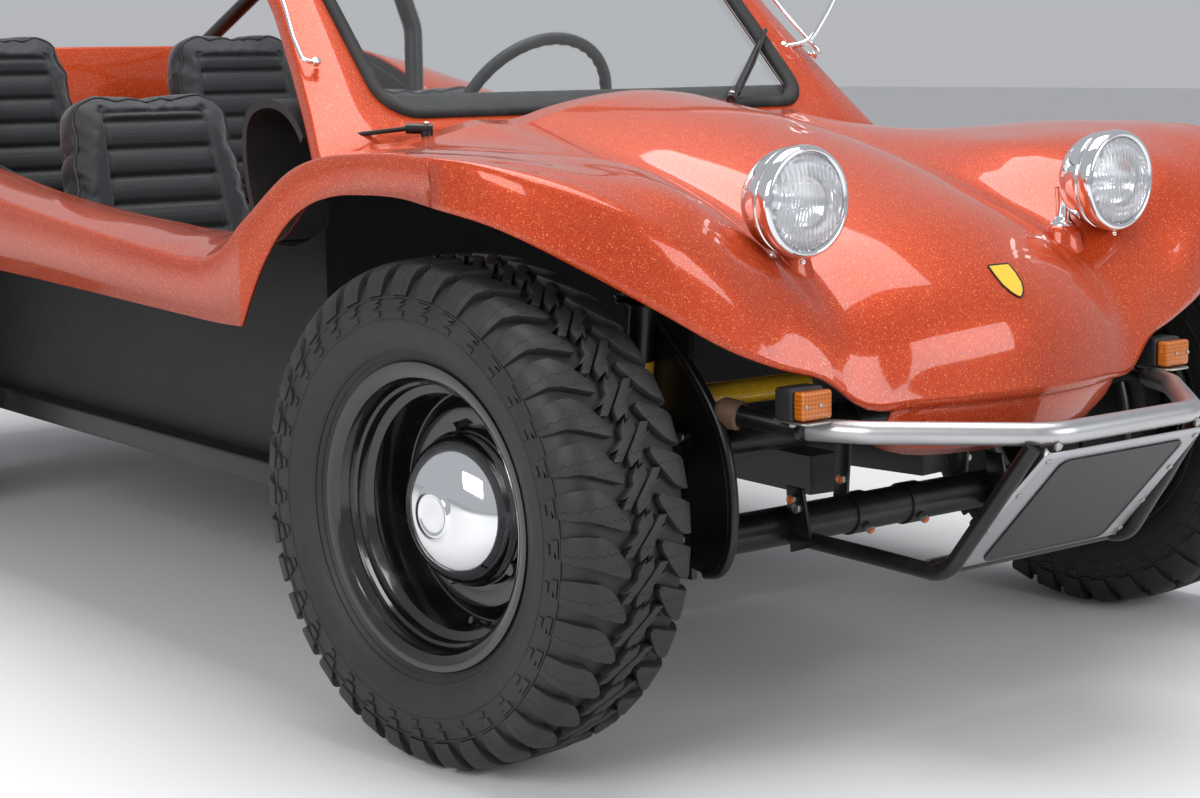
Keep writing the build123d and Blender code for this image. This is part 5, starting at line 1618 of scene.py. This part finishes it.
# %% Towers, rolled edges, bolts and a steering damper
towers = bmesh.new()
bolts = bmesh.new()
dabs = bmesh.new()
FRONT_EDGE = (
    (22, 662), (62, 640), (112, 594), (166, 548), (208, 502), (238, 452), (252, 400), (256, 340), (248, 292), (226, 262),
    (196, 254),
)
BACK_EDGE = ((150, 262), (96, 262), (72, 300), (70, 440), (74, 500), (62, 556), (34, 606), (10, 640))
for side in (-1, 1):
    y = side * 433
    front = through([at(x, y, z) for x, z in FRONT_EDGE], 3)
    rear = through([at(x, y, z) for x, z in BACK_EDGE], 2)
    slab(towers, front + rear, (0, -side * 0.009, 0), 0.0)
    rod(towers, [spot - Vector((0, side * 0.0045, 0)) for spot in front], 0.0085, 12)
    rod(towers, [spot - Vector((0, side * 0.0045, 0)) for spot in rear], 0.0060, 8)
    pivot = at(40, side * 446, 0)
    for z, radius, height in ((0.634, 0.017, 0.006), (0.641, 0.020, 0.012), (0.654, 0.017, 0.004)):
        turned([(z, 0.001), (z, radius * 0.9), (z + height * 0.3, radius), (z + height * 0.7, radius), (z + height, radius * 0.9),
                (z + height, 0.001)], pivot, (0, 0, 1), (1, 0, 0), 24, towers)
    bolt(bolts, pivot + Vector((0, 0, 0.658)), (0, 0, 1), 0.0105, 0.010)
    bolt(bolts, pivot + Vector((0, 0, 0.668)), (0, 0, 1), 0.0055, 0.010, 12)
    for z in (281, 431):
        for turn in range(3):
            angle = 2 * pi * turn / 3 + 0.5
            spot = at(119 + 38 * cos(angle), side * 434, z + 38 * sin(angle))
            bolt(bolts, spot, (0, side, 0), 0.0075, 0.006)
    for x, z in ((158, 330), (168, 318)):
        bolt(bolts, at(x, side * 222, z), (0, side, 0), 0.009, 0.008)
    bolt(dabs, at(158, side * 230, 330), (0, side, 0), 0.0066, 0.002, 10)
    outline = [at(160, side * 128, 455), at(188, side * 128, 440), at(180, side * 128, 330), at(150, side * 128, 318)]
    slab(towers, outline, (0, side * 0.006, 0), 0.001)
    bolt(bolts, at(172, side * 134, 352), (0, side, 0), 0.009, 0.008)
    bolt(dabs, at(172, side * 142, 352), (0, side, 0), 0.0064, 0.002, 10)
for y, z in ((-60, 431), (60, 431), (-60, 281), (60, 281)):
    clamp = ((-0.018, 0.0308), (-0.017, 0.0335), (0.017, 0.0335), (0.018, 0.0308))
    turned(clamp, at(119, y, z), (0, 1, 0), (1, 0, 0), 32, towers)
    bolt(bolts, at(119, y, z) + Vector((0.030, 0, -0.016)), (0.8, 0, -0.5), 0.008, 0.012)
    bolt(dabs, at(119, y, z) + Vector((0.0405, 0, -0.0225)), (0.8, 0, -0.5), 0.0058, 0.002, 10)
piece(towers, "damper_towers", SATIN_BLACK, "chassis", (), 40)
piece(bolts, "front_bolts", BOLT_STEEL, "chassis", (), 30)
DAB_ORANGE = enamel("orange_marking_paint", (0.85, 0.16, 0.03), (0.62, 0.10, 0.02))
piece(dabs, "paint_dabs", DAB_ORANGE, "chassis", (), 30)

damper = bmesh.new()
turned([(-0.115, 0.001), (-0.115, 0.018), (-0.110, 0.0195), (0.104, 0.0195), (0.110, 0.018), (0.112, 0.010), (0.112, 0.001)],
       at(96, -262, 492), (0.10, 1, 0.02), (1, 0, 0), 28, damper)
for side in (-1, 1):
    low, high = at(54, side * 452, 335), at(78, side * 452, 555)
    rod(damper, [low, high], 0.0220, 24)
YELLOW = enamel("damper_yellow", (0.72, 0.42, 0.02), (0.45, 0.25, 0.02))
piece(damper, "yellow_dampers", YELLOW, "chassis", (), 40)
dressed("front_arms", SATIN_BLACK, 0.003, 2)
dressed("knuckle_left", SATIN_BLACK, 0.003, 2)
dressed("knuckle_right", SATIN_BLACK, 0.003, 2)
dressed("sill_rails", SATIN_BLACK, 0.004, 3)
dressed("seat_bases", SATIN_BLACK, 0.003, 2)

# %% [markdown]
# ## Roll bar and rear
# The roll bar is bent tube with round corners. At the tail there is an open engine: a cast block with cooling fins and a fan housing.
# A chromed silencer hangs below it, and two small round lamps stand on the deck.

# %% Roll bar, rear bumper and tail lamps
cage = bmesh.new()
HOOP = ((-556, 514), (-556, 1060), (-430, 1395), (430, 1395), (556, 1060), (556, 514))
foot_plate = ((0.0, 0.001), (0.0, 0.040), (0.006, 0.040), (0.008, 0.036), (0.008, 0.001))
rod(cage, rounded([at(-2060, y, z) for y, z in HOOP], 0.100, 12), 0.0222, 24)
for side in (-1, 1):
    rod(cage, [at(-2060, side * 420, 1389), at(-2905, side * 420, 1026)], 0.0190, 20)
    turned(foot_plate, at(-2060, side * 556, 514), (0, 0, 1), (1, 0, 0), 32, cage)
piece(cage, "roll_cage", SATIN_BLACK, "chassis", ("roll_bar",), 40)

rear_bar = bmesh.new()
REAR_BAR = ((-2960, -420), (-3084, -360), (-3084, 360), (-2960, 420))
rod(rear_bar, rounded([at(x, y, 600) for x, y in REAR_BAR], 0.06, 8), 0.0160, 28)
piece(rear_bar, "rear_bumper_tube", BAR_STEEL, "chassis", ("rear_bumper",), 45)

TAIL_LENS = ((0.002, 0.038), (0.010, 0.0375), (0.020, 0.034), (0.026, 0.024), (0.029, 0.012), (0.030, 0.0003))
TAIL_RIM = (
    (-0.045, 0.030), (-0.012, 0.040), (0.0, 0.046), (0.004, 0.0465), (0.009, 0.0445), (0.012, 0.041), (0.011, 0.038),
    (0.004, 0.0375),
)
tail_glass, tail_rims = bmesh.new(), bmesh.new()
for side in (-1, 1):
    centre = at(-3052, side * 520, 850)
    turned(TAIL_LENS, centre, (-1, 0, 0), (0, 0, 1), 40, tail_glass)
    turned(TAIL_RIM, centre, (-1, 0, 0), (0, 0, 1), 40, tail_rims)
piece(tail_glass, "tail_lamp_lenses", RED, "chassis", ("tail_lamps",), 50)
piece(tail_rims, "tail_lamp_rims", CHROME, "chassis", (), 40)

# %% Engine, gearbox and silencer
FIN = ((-0.003, 0.030), (-0.0026, 0.062), (0.0026, 0.062), (0.003, 0.030))
HEAD = ((-3000, 330), (-2740, 330), (-2740, 470), (-3000, 470))
CASE = (
    (-2990, 270), (-2750, 270), (-2740, 330), (-2740, 500), (-2790, 545), (-2960, 545), (-3000, 500), (-3004, 320),
)
FAN_HOUSING = (
    (0.0, 0.001), (0.0, 0.095), (0.010, 0.118), (0.070, 0.124), (0.110, 0.118), (0.118, 0.100), (0.118, 0.060),
    (0.100, 0.050), (0.100, 0.001),
)
BLADES = 16
engine = bmesh.new()
for side in (-1, 1):
    for row in (-1, 1):
        for fin in range(12):
            y = side * (0.120 + 0.0145 * fin)
            centre = Vector((FRONT_AXLE - 2.870 + row * 0.065, y, 0.400))
            turned(FIN, centre, (0, 1, 0), (1, 0, 0), 20, engine)
    slab(engine, [at(x, side * 302, z) for x, z in HEAD], (0, -side * 0.020, 0), 0.004)
slab(engine, [at(x, -110, z) for x, z in CASE], (0, 0.220, 0), 0.008)
turned(FAN_HOUSING, at(-2830, 0, 560), (-1, 0, 0), (0, 0, 1), 48, engine)
for blade in range(BLADES):
    angle = 2 * pi * blade / BLADES
    spoke = Vector((0, sin(angle), cos(angle)))
    cross = Vector((0, cos(angle), -sin(angle))) * 0.0012
    base = at(-2942, 0, 560)
    root, tip = base + spoke * 0.020, base + spoke * 0.052
    slab(engine, [root - cross, root + cross, tip + cross, tip - cross], Vector((0.012, 0, 0)))
piece(engine, "flat_engine", CAST_ALLOY, "chassis", ("engine_block",), 40)

SILENCER = (
    (-0.250, 0.001), (-0.250, 0.034), (-0.246, 0.0405), (-0.238, 0.042), (0.238, 0.042), (0.246, 0.0405), (0.250, 0.034),
    (0.250, 0.001),
)
TAILPIPE = ((0.0, 0.0165), (0.042, 0.0165), (0.043, 0.0185), (0.0, 0.0185))
silencer = bmesh.new()
turned(SILENCER, at(-3056, 0, 300), (0, 1, 0), (0, 0, 1), 48, silencer)
for side in (-1, 1):
    run = [at(-2985, side * 230, 360), at(-3020, side * 230, 330), at(-3056, side * 215, 300)]
    rod(silencer, rounded(run, 0.02, 5), 0.019, 18)
    turned(TAILPIPE, at(-3056, side * 120, 300), (-1, 0, 0), (0, 0, 1), 24, silencer)
piece(silencer, "silencer", CHROME, "chassis", ("exhaust",), 40)
dressed("gearbox_axle", CAST_IRON, 0.006, 3)
print("rear ready")

# %% [markdown]
# ## Finishes on the pieces that stay as they are
# Many CAD nodes are already right in shape, so each only gets its finish in its material slot.

# %% Finish by material slot
BY_SLOT = {
    "body_orange": FLAKE_PAINT,
    "tub_black": TUB_COAT,
    "chassis_black": SATIN_BLACK,
    "glass_clear": GLASS,
    "seal_rubber": SEAL_RUBBER,
    "trim_plastic": GRAINED_PLASTIC,
    "seat_cloth": GRAINED_PLASTIC,
    "tyre_rubber": SEAL_RUBBER,
    "rim_gloss": SATIN_BLACK,
    "chrome": CHROME,
    "bar_steel": BAR_STEEL,
    "lamp_glass": FLUTED,
    "amber_lens": AMBER,
    "red_lens": RED,
    "cast_grey": CAST_IRON,
    "alloy": CAST_ALLOY,
}
for part in frame["record"]["subparts"]:
    holder = nodes[part["node"]]
    finish = BY_SLOT[part["material_slot"]]
    if not holder.material_slots:
        holder.data.materials.append(finish)
    for place in holder.material_slots:
        place.material = finish
